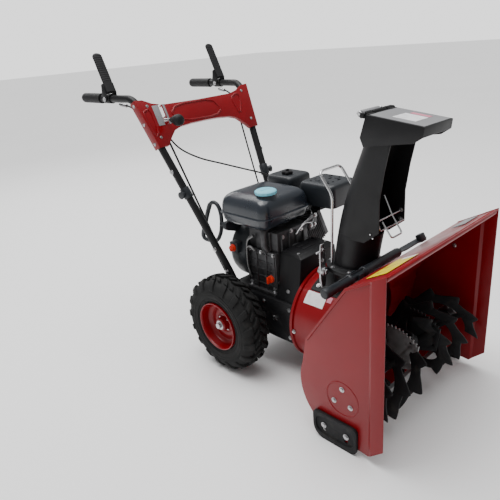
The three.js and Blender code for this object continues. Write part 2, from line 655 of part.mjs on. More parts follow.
function cylinder() {
  const tilt = THREE.MathUtils.degToRad(25);
  const along = (x0, x1, halfY, half) => {
    const geometry = new THREE.BoxGeometry(x1 - x0, halfY * 2, half * 2).translate((x0 + x1) / 2, 585, 0);
    return solid(geometry.rotateY(-tilt).translate(0, 0, CRANK_Z));
  };
  const fins = Array.from({ length: 6 }, (_, i) => along(84 + i * 12, 89 + i * 12, 58, 56));
  return cut(join(along(40, 186, 44, 44), along(158, 176, 58, 56), ...fins), box(-200, 62 + GAP, 400,
    800, 200, 600));
}
add("cylinder_head", cylinder(), PAINT.castAlloy);

const SWITCH = { x: -124, y: 690, z: 398 };
const recoil = join(
  turned("Y", [[651, 0], [651, 109], [722, 109], [732, 102], [735, 84], [746, 76], [746, 0]],
    crankCentre, 24),
  box(SWITCH.x, -60, SWITCH.y - 18, SWITCH.y + 18, SWITCH.z - 18, SWITCH.z + 18),
  plate("Y", [[-60, 430], [-128, 452], [-128, 481], [-106, 481], [-40, 455]], 714, 732),
);
add("recoil_housing", recoil, PAINT.black);
add("engine_switch", rod("X", 11, SWITCH.x - 13, SWITCH.x - GAP, [SWITCH.y, SWITCH.z], 14), PAINT.orange);

// The starter's pull grip is a D whose thick bar slopes down to the back.
function pullGrip() {
  const outline = [[748, 470], [748, 500], [754, 524], [768, 539], [786, 543], [804, 538], [818, 522],
    [866, 418],
    [870, 400], [862, 387], [846, 383], [806, 385], [778, 398], [758, 430]];
  const loop = cut(plate("X", outline, -118, -104), plate("X", inset(outline, 11), -120, -100));
  const stem = turned("Y", [[732 + GAP, 0], [732 + GAP, 7], [756, 10], [756, 0]], [-111, 466], 12);
  return join(loop, stem);
}
add("pull_grip", pullGrip(), PAINT.black);

const CAP = { x: -76, y: 568 };
const TANK = { x0: -143, x1: 86, y0: 517, y1: 734, seam: 520, top: 590, bottom: 484 };
function fuelTank() {
  const level = ([z, pull, radius]) =>
    roundedRing(TANK.x0 + pull, TANK.x1 - pull, TANK.y0 + pull, TANK.y1 - pull, radius, z, 3);
  const levels = [[TANK.bottom, 24, 20], [492, 12, 26], [TANK.seam, 5, 28], [TANK.seam + 0.5, 0, 32],
    [TANK.seam + 5, 0, 32], [TANK.seam + 5.5, 5, 28], [560, 9, 28], [578, 18, 26], [TANK.top - 2, 36,
      22], [TANK.top, 48, 18]];
  const neck = rod("Z", 20, TANK.top - 12, TANK.top + 10, [CAP.x, CAP.y], 16);
  return cut(loft(levels.map(level)), neck);
}
add("fuel_tank", fuelTank(), PAINT.tank);
const fuelCap = turned("Z", [[TANK.top - 10, 0], [TANK.top - 10, 18], [TANK.top + GAP, 18],
  [TANK.top + GAP, 31],
  [TANK.top + 10, 31], [TANK.top + 15, 26], [TANK.top + 15, 0]], [CAP.x, CAP.y], 20);
add("fuel_cap", fuelCap, PAINT.paleBlue);

// A cover with rounded corners and a softened top edge.
const hood = (x0, x1, y0, y1, bottom, top) => {
  const level = (z, pull) => roundedRing(x0 + pull, x1 - pull, y0 + pull, y1 - pull, 16 - pull / 2, z, 3);
  return loft([level(bottom, 0), level(top - 12, 0), level(top - 4, 3), level(top, 10)]);
};
const heaterBox = join(
  cut(hood(91, 206, 616, 732, 506, 596), box(94, 203, 619, 729, 500, 584)),
  box(106, 150, 648, 684, 486, 590),
);
add("heater_box", cut(heaterBox, rod("Z", 6, 590, 600, [130, 662], 12)), PAINT.black);
const starKnob = join(
  rod("Z", 6 - GAP, 591, 598, [130, 662], 12),
  plate("Z", Array.from({ length: 20 }, (_, i) => {
    const r = i % 4 < 2 ? 18 : 12;
    return [130 + r * Math.cos((i * Math.PI) / 10), 662 + r * Math.sin((i * Math.PI) / 10)];
  }), 596 + GAP, 606),
  rod("Z", 9, 600, 616, [130, 662], 12),
);
add("heater_box_knob", starKnob, PAINT.black);
const mufflerGuard = join(
  cut(hood(88, 222, 434, 578, 514, 592), box(91, 219, 437, 575, 500, 580)),
  rod("Y", 28, 436, 576, [155, 548], 14),
  box(130, 170, 520, 556, 498, 540),
);
add("muffler_guard", mufflerGuard, PAINT.black);
add("oil_plug", join(
  rod("X", 12, -112, -98 - GAP, [540, 316], 14),
  box(-124, -110, 537, 543, 306, 326),
), PAINT.orange);

// ---- handle -------------------------------------------------------------------------------------
// The tubes rise straight from the frame to the dash and turn level for the grips.
const tubeRoute = [[TUBE.footX, 630, 175], [TUBE.footX, 692, 300], [236.3, 983, TUBE.gripZ],
  [TUBE.gripX, 1062, TUBE.gripZ], [TUBE.gripX, GRIP.to - 6, TUBE.gripZ]];
const straightTube = bentBar(tubeRoute, TUBE.r, 50, 12, 4);
const tube = cut(straightTube, rod("X", 4.5, 200, 300, [TUBE.leverY, TUBE.gripZ], 10));
addPair("handle_tube", tube, PAINT.black);

const gripCentre = [TUBE.gripX, TUBE.gripZ];
const gripBore = TUBE.r + 0.9;
const grip = turned("Y", [[GRIP.from, gripBore], [GRIP.from, GRIP.r], [GRIP.to - 4, GRIP.r], [GRIP.to,
  GRIP.r - 3], [GRIP.to, 0], [GRIP.to - 5.5, 0],
  [GRIP.to - 5.5, gripBore], [GRIP.from, gripBore]], gripCentre, 12);
addPair("grip", grip, PAINT.rubber);

// A clutch lever is a forked blade that folds down over its grip. It is drawn lying along +Y from its
// pivot,
// and then raised.
function clutchLever() {
  const web = box(-21, 21, 24, 46, 18, 21);
  const blade = plate("Z", [[-14, 30], [14, 30], [14, 140], [10, 149], [0, 152], [-10, 149], [-14, 140]],
    18, 28);
  const wall = (side) => plate("X", [[-12, -8], [14, -10], [34, 6], [46, 12], [46, 21], [10, 21], [-12, 8]],
    side > 0 ? 18 : -21, side > 0 ? 21 : -18);
  const pin = rod("X", 4, -23, 23, [0, 0], 10);
  const lever = join(web, blade, wall(1), wall(-1), pin);
  const degrees = THREE.MathUtils.radToDeg(LEVER_RISE);
  return lever.rotate([degrees, 0, 0]).translate([TUBE.gripX, TUBE.leverY, TUBE.gripZ]);
}
addPair("clutch_lever", clutchLever(), PAINT.black);

// The speed lever turns on a bracket behind the dash. A pin on its arm carries the shift rod.
const SHIFT = { x: -163, pivotY: 1013, pivotZ: 777 };

// The dash is drawn flat, with u across and v up the tubes, and then leaned back on the tubes' front.
const halfDash = [[0, 51], [60, 50], [110, 46], [142, 36], [166, 14], [188, -10], [DASH.halfWidth + 15,
  -10],
  [DASH.halfWidth + 40, 156], [222, 154], [190, 138], [150, 129], [0, 127]];
const dashOutline = [...halfDash, ...halfDash.slice(1, -1).reverse().map(([u, v]) => [-u, v])];
function dash() {
  const face = 16.5;
  const shell = cut(plate("Z", dashOutline, 2, face), plate("Z", inset(dashOutline, SHEET), 0,
    face - SHEET));
  const cheek = (side) => {
    const edge = [[DASH.halfWidth + 12, -10], [DASH.halfWidth + 15, -10], [DASH.halfWidth + 40, 156],
      [DASH.halfWidth + 37, 156]];
    return plate("Z", edge.map(([u, v]) => [side * u, v]), -14, face);
  };
  const slot = box(-170, -156, 58, 132, 0, 30);
  const bracket = join(
    box(SHIFT.x + 18 + GAP, SHIFT.x + 21 + GAP, 62, 96, -88, 15),
    box(SHIFT.x + 8 + GAP, SHIFT.x + 19 + GAP, 72, 90, -88, -68),
  );
  const flat = cut(join(shell, cheek(1), cheek(-1), bracket), slot);
  const lean = new THREE.Matrix4().makeRotationX(Math.PI / 2 - DASH.lean).setPosition(0, DASH.y, DASH.z);
  const leaned = flat.transform(lean.elements);
  const clearance = bentBar(tubeRoute, TUBE.r + GAP + 0.2, 50, 12, 4);
  return cut(leaned, clearance, mirrored(clearance), rod("X", 5 + GAP, -180, -130, [SHIFT.pivotY,
    SHIFT.pivotZ], 12));
}
add("dash", dash(), PAINT.red);

const shiftLever = join(
  bentBar([[SHIFT.x, SHIFT.pivotY, SHIFT.pivotZ], [SHIFT.x, 948, 809], [SHIFT.x, 925, 815], [SHIFT.x,
    880, 816]], 5, 14, 8, 2),
  turned("Y", [[896, 0], [896, 7], [884, 12], [866, 18], [852, 19], [843, 14], [840, 0]], [SHIFT.x, 816],
    12),
  rod("X", 8, SHIFT.x - 8, SHIFT.x + 8, [SHIFT.pivotY, SHIFT.pivotZ], 12),
  rod("X", 5, SHIFT.x, SHIFT.x + 24, [SHIFT.pivotY, SHIFT.pivotZ], 12),
  rod("X", 3, SHIFT.x, SHIFT.x + 17, SHIFT_ROD.top.slice(1), 8),
);
add("shift_lever", shiftLever, PAINT.black);
// The rod's top end is an eye with a slot in it, because the pin moves on an arc and the rod in a
// straight line.
const [rodX, rodY, rodZ] = SHIFT_ROD.top;
const shiftRod = cut(
  join(bar([SHIFT_ROD.foot, SHIFT_ROD.top].map((p) => new THREE.Vector3(...p)), 3.5, 8),
    rod("X", 10, rodX - 2.5, rodX + 2.5, [rodY + 1.5, rodZ - 0.7], 12)),
  box(-20, 20, -3.4, 7, -3.4, 3.4).rotate([-26, 0, 0]).translate([rodX, rodY, rodZ]),
);
add("shift_rod", shiftRod, PAINT.steel);

// ---- control cables -----------------------------------------------------------------------------
// Each clutch cable runs from its lever down the inner back of its tube to the frame.
const clutchRoute = [[226, 1098, 868], [221, 1050, 862], [214, 1004, 842], [205, 978, 806], [195, 946, 740],
  [170, 872, 590], [150, 800, 440], [135, 742, 320], [122, 727, 268], [118, 725.8, 236]];
addPair("clutch_cable", cable(clutchRoute, 3, 18), PAINT.black);
const throttleRoute = [[-138, 988, 800], [-138, 982, 784], [-132, 970, 752], [-108, 942, 706], [-60, 902,
  668], [0, 850, 640],
  [55, 795, 615], [92, 752, 598], [108, 733.5, 588]];
add("throttle_cable", cable(throttleRoute, 3, 18), PAINT.black);

snowblower.position.y = -OVERALL_LENGTH / 2;
export default snowblower;
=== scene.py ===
"""The snowblower's visual model. Points are given as in the CAD source, in millimetres: Y from the mouth of the
intake, Z from the floor. P() turns them into the frame's metres."""

import json
from math import atan2, cos, pi, radians, sin, sqrt

import bmesh
import bpy
from mathutils import Matrix, Vector

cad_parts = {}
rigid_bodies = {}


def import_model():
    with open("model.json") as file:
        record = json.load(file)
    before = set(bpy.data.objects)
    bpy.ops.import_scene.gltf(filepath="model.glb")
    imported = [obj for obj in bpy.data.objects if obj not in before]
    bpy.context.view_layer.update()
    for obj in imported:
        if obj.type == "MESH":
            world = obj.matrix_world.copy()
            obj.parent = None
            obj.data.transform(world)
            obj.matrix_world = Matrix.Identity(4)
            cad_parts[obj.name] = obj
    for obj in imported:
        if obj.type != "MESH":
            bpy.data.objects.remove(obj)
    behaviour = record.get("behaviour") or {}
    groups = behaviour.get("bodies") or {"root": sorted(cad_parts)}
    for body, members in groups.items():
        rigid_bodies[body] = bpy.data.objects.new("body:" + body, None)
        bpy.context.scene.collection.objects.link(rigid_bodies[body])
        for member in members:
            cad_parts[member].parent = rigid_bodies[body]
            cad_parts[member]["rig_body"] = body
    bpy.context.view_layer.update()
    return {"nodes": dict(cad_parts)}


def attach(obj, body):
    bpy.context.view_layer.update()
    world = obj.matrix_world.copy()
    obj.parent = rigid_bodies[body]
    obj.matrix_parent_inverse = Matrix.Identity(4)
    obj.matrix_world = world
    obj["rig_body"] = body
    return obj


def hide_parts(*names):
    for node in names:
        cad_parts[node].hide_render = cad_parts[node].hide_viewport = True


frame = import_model()
SHIFT_Y = 646
SHEET = 0.003


def P(x, y, z):
    return Vector((x / 1000, (y - SHIFT_Y) / 1000, z / 1000))


def on_axis(axis, along, u, v):
    return {"X": (along, u, v), "Y": (u, along, v), "Z": (u, v, along)}[axis]


def linked(name, data):
    obj = bpy.data.objects.new(name, data)
    bpy.context.scene.collection.objects.link(obj)
    return obj


# ---- camera ----
AZ, EL, ROLL = radians(-42.48), radians(21.70), radians(-4.74)
back = Vector((sin(AZ) * cos(EL), -cos(AZ) * cos(EL), sin(EL)))
right = (-back).cross(Vector((0, 0, 1))).normalized()
up = right.cross(-back)
cam_right = right * cos(ROLL) + up * sin(ROLL)
cam_up = up * cos(ROLL) - right * sin(ROLL)
camera = linked("camera", bpy.data.cameras.new("camera"))
camera.data.lens = 38.05
camera.data.sensor_width = 36
camera.matrix_world = Matrix.Translation(P(-1199, -564.5, 1041)) @ Matrix((cam_right, cam_up,
    back)).transposed().to_4x4()
bpy.context.scene.camera = camera


# ---- materials ----
def settle(node, **values):
    for socket, value in values.items():
        node.inputs[socket.replace("_", " ")].default_value = value


def material(name, color, rough, metal=0.0, coat=0.0, vary=0.12, scale=9.0, bump=0.06, grain=220.0, wear=None,
    shine=0.5):
    """A procedural finish: broad colour drift, uneven gloss and a fine bump. wear is a second colour in patches."""
    m = bpy.data.materials.new(name)
    m.use_nodes = True
    tree = m.node_tree
    shader = tree.nodes["Principled BSDF"]
    settle(shader, Metallic=metal, Coat_Weight=coat, Specular_IOR_Level=shine, Coat_Roughness=0.12)
    link = tree.links.new
    place = tree.nodes.new("ShaderNodeTexCoord")

    def noise(size, detail=4.0):
        n = tree.nodes.new("ShaderNodeTexNoise")
        settle(n, Scale=size, Detail=detail)
        link(place.outputs["Object"], n.inputs["Vector"])
        return n.outputs["Fac"]

    ramp = tree.nodes.new("ShaderNodeValToRGB")
    ramp.color_ramp.elements[0].position = 0.3
    ramp.color_ramp.elements[1].position = 0.7
    ramp.color_ramp.elements[0].color = [c * (1 - vary) for c in color] + [1]
    ramp.color_ramp.elements[1].color = [min(c * (1 + vary), 1) for c in color] + [1]
    link(noise(scale), ramp.inputs["Fac"])
    tint = ramp.outputs["Color"]
    if wear:
        mask = tree.nodes.new("ShaderNodeMapRange")
        settle(mask, From_Min=0.56, From_Max=0.72, To_Max=0.6)
        link(noise(34, 9.0), mask.inputs["Value"])
        mix = tree.nodes.new("ShaderNodeMix")
        mix.data_type = "RGBA"
        link(mask.outputs["Result"], mix.inputs["Factor"])
        link(tint, mix.inputs["A"])
        mix.inputs["B"].default_value = (*wear, 1)
        tint = mix.outputs["Result"]
    link(tint, shader.inputs["Base Color"])
    gloss = tree.nodes.new("ShaderNodeMapRange")
    settle(gloss, To_Min=max(rough - 0.1, 0.03), To_Max=min(rough + 0.14, 1))
    link(noise(26, 6.0), gloss.inputs["Value"])
    link(gloss.outputs["Result"], shader.inputs["Roughness"])
    ripple = tree.nodes.new("ShaderNodeBump")
    settle(ripple, Strength=bump, Distance=0.001)
    link(noise(grain, 3.0), ripple.inputs["Height"])
    link(ripple.outputs["Normal"], shader.inputs["Normal"])
    return m


RED = material("red_enamel", (0.21, 0.0004, 0.004), 0.32, coat=0.12, vary=0.1, scale=5, bump=0.03, grain=90,
    shine=0.28)
BLACK = material("black_enamel", (0.006, 0.006, 0.007), 0.45, vary=0.25, bump=0.08, shine=0.3)
MATT_BLACK = material("matt_black", (0.008, 0.008, 0.009), 0.62, vary=0.3, bump=0.25, grain=400,
    wear=(0.03, 0.027, 0.024), shine=0.3)
PLASTIC = material("slate_plastic", (0.012, 0.015, 0.019), 0.4, vary=0.15, bump=0.15, grain=700, shine=0.45)
RUBBER = material("rubber", (0.008, 0.008, 0.008), 0.78, vary=0.25, bump=0.3, grain=500, wear=(0.025, 0.024, 0.022),
    shine=0.3)
GRIP = material("grip_rubber", (0.009, 0.009, 0.01), 0.6, vary=0.2, bump=0.25, grain=800, shine=0.35)
STEEL = material("zinc_steel", (0.5, 0.5, 0.51), 0.32, metal=1, vary=0.12, scale=40, bump=0.1,
    wear=(0.24, 0.23, 0.21))
CHROME = material("bright_wire", (0.62, 0.62, 0.63), 0.22, metal=1, vary=0.08, scale=30, bump=0.04)
ALLOY = material("cast_alloy", (0.075, 0.075, 0.078), 0.45, metal=0.7, vary=0.25, scale=30, bump=0.55, grain=420,
    wear=(0.02, 0.02, 0.02))
TANK = material("tank_enamel", (0.014, 0.019, 0.027), 0.28, coat=0.3, vary=0.1, bump=0.03)
BLUE = material("pale_blue_plastic", (0.2, 0.56, 0.68), 0.45, vary=0.06, bump=0.1, grain=600, shine=0.3)
ORANGE = material("orange_plastic", (0.6, 0.025, 0.008), 0.4, vary=0.08, bump=0.08, shine=0.3)
WHITE = material("white_label", (0.8, 0.8, 0.81), 0.45, vary=0.06, scale=60, bump=0.02, wear=(0.5, 0.49, 0.5))
PINK = material("pink_label", (0.66, 0.22, 0.3), 0.45, vary=0.08, scale=50, bump=0.02)
YELLOW = material("yellow_label", (0.72, 0.56, 0.0), 0.4, vary=0.1, scale=60, bump=0.02, wear=(0.1, 0.08, 0.0))
GREY_STEEL = material("dull_steel", (0.26, 0.26, 0.26), 0.5, metal=0.8, vary=0.15, scale=30, bump=0.2,
    wear=(0.08, 0.075, 0.07))
GREY = material("grey_sleeve", (0.24, 0.24, 0.25), 0.42, vary=0.1, bump=0.15)


# ---- mesh building ----
def rounded(route, bend, steps=8):
    """The corners of a route of points replaced by short curves."""
    points = [Vector(p) for p in route]
    out = [points[0]]
    for before, corner, after in zip(points, points[1:], points[2:]):
        a = corner + (before - corner).normalized() * min(bend, (before - corner).length * 0.45)
        b = corner + (after - corner).normalized() * min(bend, (after - corner).length * 0.45)
        for i in range(steps + 1):
            t = i / steps
            out.append(a * (1 - t) ** 2 + corner * 2 * t * (1 - t) + b * t * t)
    out.append(points[-1])
    return out


def spline(route, count):
    """A Catmull-Rom curve through points."""
    p = [Vector(q) for q in route]
    p = [p[0] * 2 - p[1], *p, p[-1] * 2 - p[-2]]
    out = []
    spans = len(p) - 3
    for k in range(count + 1):
        s = k / count * spans
        i = min(int(s), spans - 1)
        t = s - i
        a, b, c, d = p[i:i + 4]
        out.append(0.5 * (2 * b + (c - a) * t + (2 * a - 5 * b + 4 * c - d) * t ** 2 + (3 * b - a - 3 * c + d) * t ** 3))
    return out


def polar(cx, cy, r, angle):
    return cx + r * cos(radians(angle)), cy + r * sin(radians(angle))


def arc(cx, cy, r, start, end, steps):
    return [polar(cx, cy, r, start + (end - start) * i / steps) for i in range(steps + 1)]


def offset(path, depth):
    """An open path moved to its right by depth."""
    out = []
    for i, (x, y) in enumerate(path):
        x0, y0 = path[max(i - 1, 0)]
        x1, y1 = path[min(i + 1, len(path) - 1)]
        n = Vector((y1 - y0, x0 - x1)).normalized()
        out.append((x + n.x * depth, y + n.y * depth))
    return out


def chaikin(points, rounds=2):
    """A closed outline with its corners cut, `rounds` times over."""
    for _ in range(rounds):
        cut = []
        for (x0, y0), (x1, y1) in zip(points, points[1:] + points[:1]):
            cut += [(x0 * 0.8 + x1 * 0.2, y0 * 0.8 + y1 * 0.2), (x0 * 0.2 + x1 * 0.8, y0 * 0.2 + y1 * 0.8)]
        points = cut
    return points


class Piece:
    """Shapes collected into one mesh, in millimetres."""

    def __init__(self):
        self.bm = bmesh.new()

    def faces(self, points, faces):
        verts = [self.bm.verts.new(P(*p)) for p in points]
        for f in faces:
            if len(set(f)) > 2:
                try:
                    self.bm.faces.new([verts[i] for i in f])
                except ValueError:
                    pass
        return self

    def rings(self, rings, cap=True, loop=True):
        n = len(rings[0])
        span = n if loop else n - 1
        faces = [(k * n + i, k * n + (i + 1) % n, (k + 1) * n + (i + 1) % n, (k + 1) * n + i)
                for k in range(len(rings) - 1) for i in range(span)]
        if cap:
            faces += [tuple(range(n)), tuple(range((len(rings) - 1) * n, len(rings) * n))]
        return self.faces([tuple(p) for ring in rings for p in ring], faces)

    def lathe(self, axis, profile, centre, segs=48, wobble=None):
        """profile holds (along, radius) pairs and closes on itself or ends at radius 0."""
        a, b = centre
        rings = []
        for along, r in profile:
            ring = []
            for i in range(segs):
                t = 2 * pi * i / segs
                rr = r * (wobble(t, r) if wobble else 1)
                u, v = a + rr * cos(t), b + rr * sin(t)
                ring.append(on_axis(axis, along, u, v))
            rings.append(ring)
        return self.rings(rings, cap=False)

    def rod(self, axis, r, start, end, centre, segs=32):
        return self.lathe(axis, [(start, 0), (start, r), (end, r), (end, 0)], centre, segs)

    def collar(self, axis, start, end, inner, outer, centre, segs):
        return self.lathe(axis, [(start, inner), (start, outer), (end, outer), (end, inner), (start, inner)], centre,
            segs)

    def sweep(self, route, r, sides=14, flat=1.0):
        points = [Vector(p) for p in route]
        tangent = (points[1] - points[0]).normalized()
        side = tangent.orthogonal().normalized()
        rings = []
        for i, p in enumerate(points):
            t = (points[min(i + 1, len(points) - 1)] - points[max(i - 1, 0)]).normalized()
            side = (side - t * side.dot(t)).normalized()
            other = t.cross(side)
            rr = r(i / (len(points) - 1)) if callable(r) else r
            rings.append([p + side * rr * cos(2 * pi * k / sides) + other * rr * flat * sin(2 * pi * k / sides)
                    for k in range(sides)])
        return self.rings(rings)

    def prism(self, axis, outline, start, end):
        return self.rings([[on_axis(axis, w, u, v) for u, v in outline] for w in (start, end)])

    def box(self, x0, x1, y0, y1, z0, z1):
        return self.prism("Z", [(x0, y0), (x1, y0), (x1, y1), (x0, y1)], z0, z1)

    def turned_box(self, size, centre, matrix):
        corners = [Vector((sx * size[0] / 2, sy * size[1] / 2, sz * size[2] / 2)) for sx in (-1, 1) for sy in (-1,
            1) for sz in (-1, 1)]
        points = [Vector(centre) + matrix @ c for c in corners]
        return self.faces(points, [(0, 1, 3, 2), (4, 6, 7, 5), (0, 4, 5, 1), (2, 3, 7, 6), (0, 2, 6, 4),
            (1, 5, 7, 3)])

    def bolt(self, at, direction, r=6.0, height=4.5, washer=True):
        """A hex head on a washer, standing on the point `at`."""
        d = Vector(direction).normalized()
        side = d.orthogonal().normalized()
        other = d.cross(side)

        def ring(radius, h, n, turn=0.0):
            return [Vector(at) + d * h + side * radius * cos(turn + 2 * pi * k / n)
                    + other * radius * sin(turn + 2 * pi * k / n) for k in range(n)]

        if washer:
            self.rings([ring(r * 1.45, -0.5, 24), ring(r * 1.45, 1.1, 24)])
        self.rings([ring(r, 0.5, 6), ring(r, height - 0.6, 6), ring(r * 0.86, height, 6)])
        return self

    def spring(self, start, end, r, wire, turns):
        a, b = Vector(start), Vector(end)
        d = (b - a).normalized()
        side = d.orthogonal().normalized()
        other = d.cross(side)
        n = turns * 12
        route = [a + (b - a) * i / n + side * r * cos(2 * pi * i / 12) + other * r * sin(2 * pi * i / 12) for i in range(n + 1)]
        return self.sweep(route, wire, 6)

    def finish(self):
        bmesh.ops.remove_doubles(self.bm, verts=self.bm.verts, dist=1e-6)
        bmesh.ops.recalc_face_normals(self.bm, faces=self.bm.faces)
        mesh = bpy.data.meshes.new("mesh")
        self.bm.to_mesh(mesh)
        self.bm.free()
        return mesh


def bake(obj):
    """The object's modifiers made part of its mesh."""
    depsgraph = bpy.context.evaluated_depsgraph_get()
    mesh = bpy.data.meshes.new_from_object(obj.evaluated_get(depsgraph))
    obj.modifiers.clear()
    obj.data = mesh
    return obj


def loose(piece):
    return linked("loose", piece.finish())


def boolean(obj, other, operation="DIFFERENCE"):
    """Cuts a Piece or an object off obj, or joins or intersects them."""
    if isinstance(other, Piece):
        other = loose(other)
    m = obj.modifiers.new("cut", "BOOLEAN")
    m.object = other
    m.operation = operation
    m.solver = "EXACT"
    bake(obj)
    bpy.data.objects.remove(other)
    return obj


def thick(obj):
    """A wall of sheet inside the surface."""
    m = obj.modifiers.new("thick", "SOLIDIFY")
    m.thickness = SHEET
    m.offset = -1
    return bake(obj)


def place(obj, name, finish, body="frame", replaces=(), bevel=0.0, smooth=40, segments=2):
    """Gives a finished mesh its edges, shading, material and body."""
    if bevel:
        m = obj.modifiers.new("edges", "BEVEL")
        m.width = bevel / 1000
        m.segments = segments
        m.limit_method = "ANGLE"
        m.angle_limit = radians(32)
        m.use_clamp_overlap = True
        bake(obj)
    obj.name = name
    obj.data.name = name
    obj.data.materials.clear()
    obj.data.materials.append(finish)
    obj.data.shade_smooth()
    obj.data.set_sharp_from_angle(angle=radians(smooth))
    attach(obj, body)
    if replaces:
        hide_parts(*replaces)
    return obj


def put(piece, name, finish, body="frame", replaces=(), **how):
    return place(loose(piece), name, finish, body, replaces, **how)


def from_cad(node, finish, bevel=1.2, name=None, smooth=35):
    """A CAD node's own shape with its edges rounded."""
    obj = linked("copy", frame["nodes"][node].data.copy())
    bm = bmesh.new()
    bm.from_mesh(obj.data)
    bmesh.ops.remove_doubles(bm, verts=bm.verts, dist=2e-6)
    bmesh.ops.dissolve_limit(bm, angle_limit=radians(1), verts=bm.verts, edges=bm.edges)
    bm.to_mesh(obj.data)
    bm.free()
    return place(obj, name or node + "_piece", finish, frame["nodes"][node]["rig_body"], (node,), bevel=bevel,
        smooth=smooth)


SIDES = ((1, "left"), (-1, "right"))
# Axes, as the two coordinates across them: the impeller housing, the chute's turn and the deflector's hinge
BARREL, SEAT, HINGE = (0, 200), (0, 283), (216, 843)

# ---- intake ----
ARC = (122, 163)
PLATE_X = 287
BEARING_BOLTS = ((126, 186), (152, 141), (100, 141))
WALL = [(0, 541), (114, 480), (244, 293)] + arc(*ARC, 145, 20, -75, 30)
FRONT_SPACE = [(-50, 700), (-50, -50), (158, -50), *offset(WALL, 1.2)[::-1], (0, 700)]


def drum():
    outer = offset(WALL, 1.5)
    path = outer + offset(WALL, 4.5)[::-1]
    piece = Piece().prism("X", path, -283.7, 283.7)
    obj = boolean(loose(piece), Piece().rod("Y", 146, 150, 330, BARREL, 96))
    return place(obj, "intake_sheet", RED, replaces=("drum",), bevel=0.5)


drum()
lip = Piece().lathe("X", [(-283.7, 0), (-283.7, 5.5), (-282, 7), (282, 7), (283.7, 5.5), (283.7, 0)], (8.5, 529), 20)
put(lip, "intake_lip", RED)


def side_plate(side, name):
    inner, outer = 284, 287
    section = [(inner, 44), (inner + 5, 36), (inner + 5, -1), (outer + 5, -1), (outer + 5, 36.5), (outer, 44.5),
        (outer, 300), (inner, 300)]
    outline = [(0, 57), (0, 541), (114, 480), (175, 392), (244, 293)] + arc(*ARC, 145, 20, -100, 36) + [(46, 15)]
    bent = loose(Piece().prism("Z", [(side * x, y) for x, y in section], 0, 560))
    shape = loose(Piece().prism("X", outline, side * 200, side * 400))
    obj = boolean(bent, shape, "INTERSECT")
    place(obj, "side_sheet_" + name, RED, replaces=("side_plate_" + name,), bevel=0.6)
    flange = Piece()
    for a, b in (((3, 533), (112, 474)), ((112, 474), (238, 292))):
        flange.sweep([(side * PLATE_X, *a), (side * PLATE_X, *b)], 2.0, 8)
    flange.lathe("X", [(side * 286.6, 47), (side * 288.1, 48.5), (side * 288.1, 51), (side * 286.6, 52.5),
        (side * 286.6, 47)], (126, 156), 64)
    put(flange, "side_emboss_" + name, RED)
    bolts = Piece()
    for y, z in BEARING_BOLTS:
        bolts.bolt((side * PLATE_X, y, z), (side, 0, 0), 5.2, 4)
    for y in (112, 186):
        bolts.bolt((side * 291.3, y, 43), (side, 0, 0), 6, 4.2)
    bolts.bolt((side * 284, 119, 401), (-side, 0, 0), 5, 4)
    put(bolts, "side_bolts_" + name, STEEL)
    bearing = Piece().lathe("X", [(side * 278, 10.4), (side * 278, 32), (side * 280, 34), (side * 283.7, 34),
        (side * 283.7, 10.4), (side * 278, 10.4)], (126, 156), 48)
    for y, z in BEARING_BOLTS:
        bearing.bolt((side * 281, y, z), (-side, 0, 0), 5, 4, False)
    put(bearing, "bearing_" + name, STEEL, replaces=("auger_bearing_" + name,))


def skid_shoe(side, name):
    def curve(a, b, c, n=8):
        return [((1 - t) ** 2 * a[0] + 2 * t * (1 - t) * b[0] + t * t * c[0],
            (1 - t) ** 2 * a[1] + 2 * t * (1 - t) * b[1] + t * t * c[1])
                for t in [i / n for i in range(n + 1)]]
    f, b = 76, 220
    outline = (curve((b - 34, 0), (b, 6), (b, 42)) + curve((b, 68), (b, 84), (b - 16, 84)) + curve((f + 16, 84),
        (f, 84), (f, 68))
            + curve((f, 24), (f, 0), (f + 24, 0)))
    obj = loose(Piece().prism("X", outline, side * 287.3, side * 296))
    pocket = chaikin([(f + 9, 14), (b - 9, 14), (b - 9, 76), (f + 9, 76)], 3)
    boolean(obj, Piece().prism("X", pocket, side * 291, side * 320))
    for y in (112, 186):
        slot = arc(y, 43, 5, 0, 180, 10) + arc(y, 27, 5, 180, 360, 10)
        boolean(obj, Piece().prism("X", slot, side * 250, side * 320))
    place(obj, "shoe_" + name, MATT_BLACK, "shoe_" + name, ("skid_shoe_" + name,), bevel=0.8)


for side, name in SIDES:
    side_plate(side, name)
    skid_shoe(side, name)
from_cad("scraper_bar", STEEL, 0.6)

# ---- augers ----
HUB = (126, 156)
TOOTH, LEAD, TURNS = 40, 168, 460


def tooth_radius(turn):
    p = (turn % TOOTH) / TOOTH
    return 104 + 22 * (p / 0.62) ** 1.35 if p < 0.62 else 104 + 22 * max(0, 1 - (p - 0.62) / 0.13)


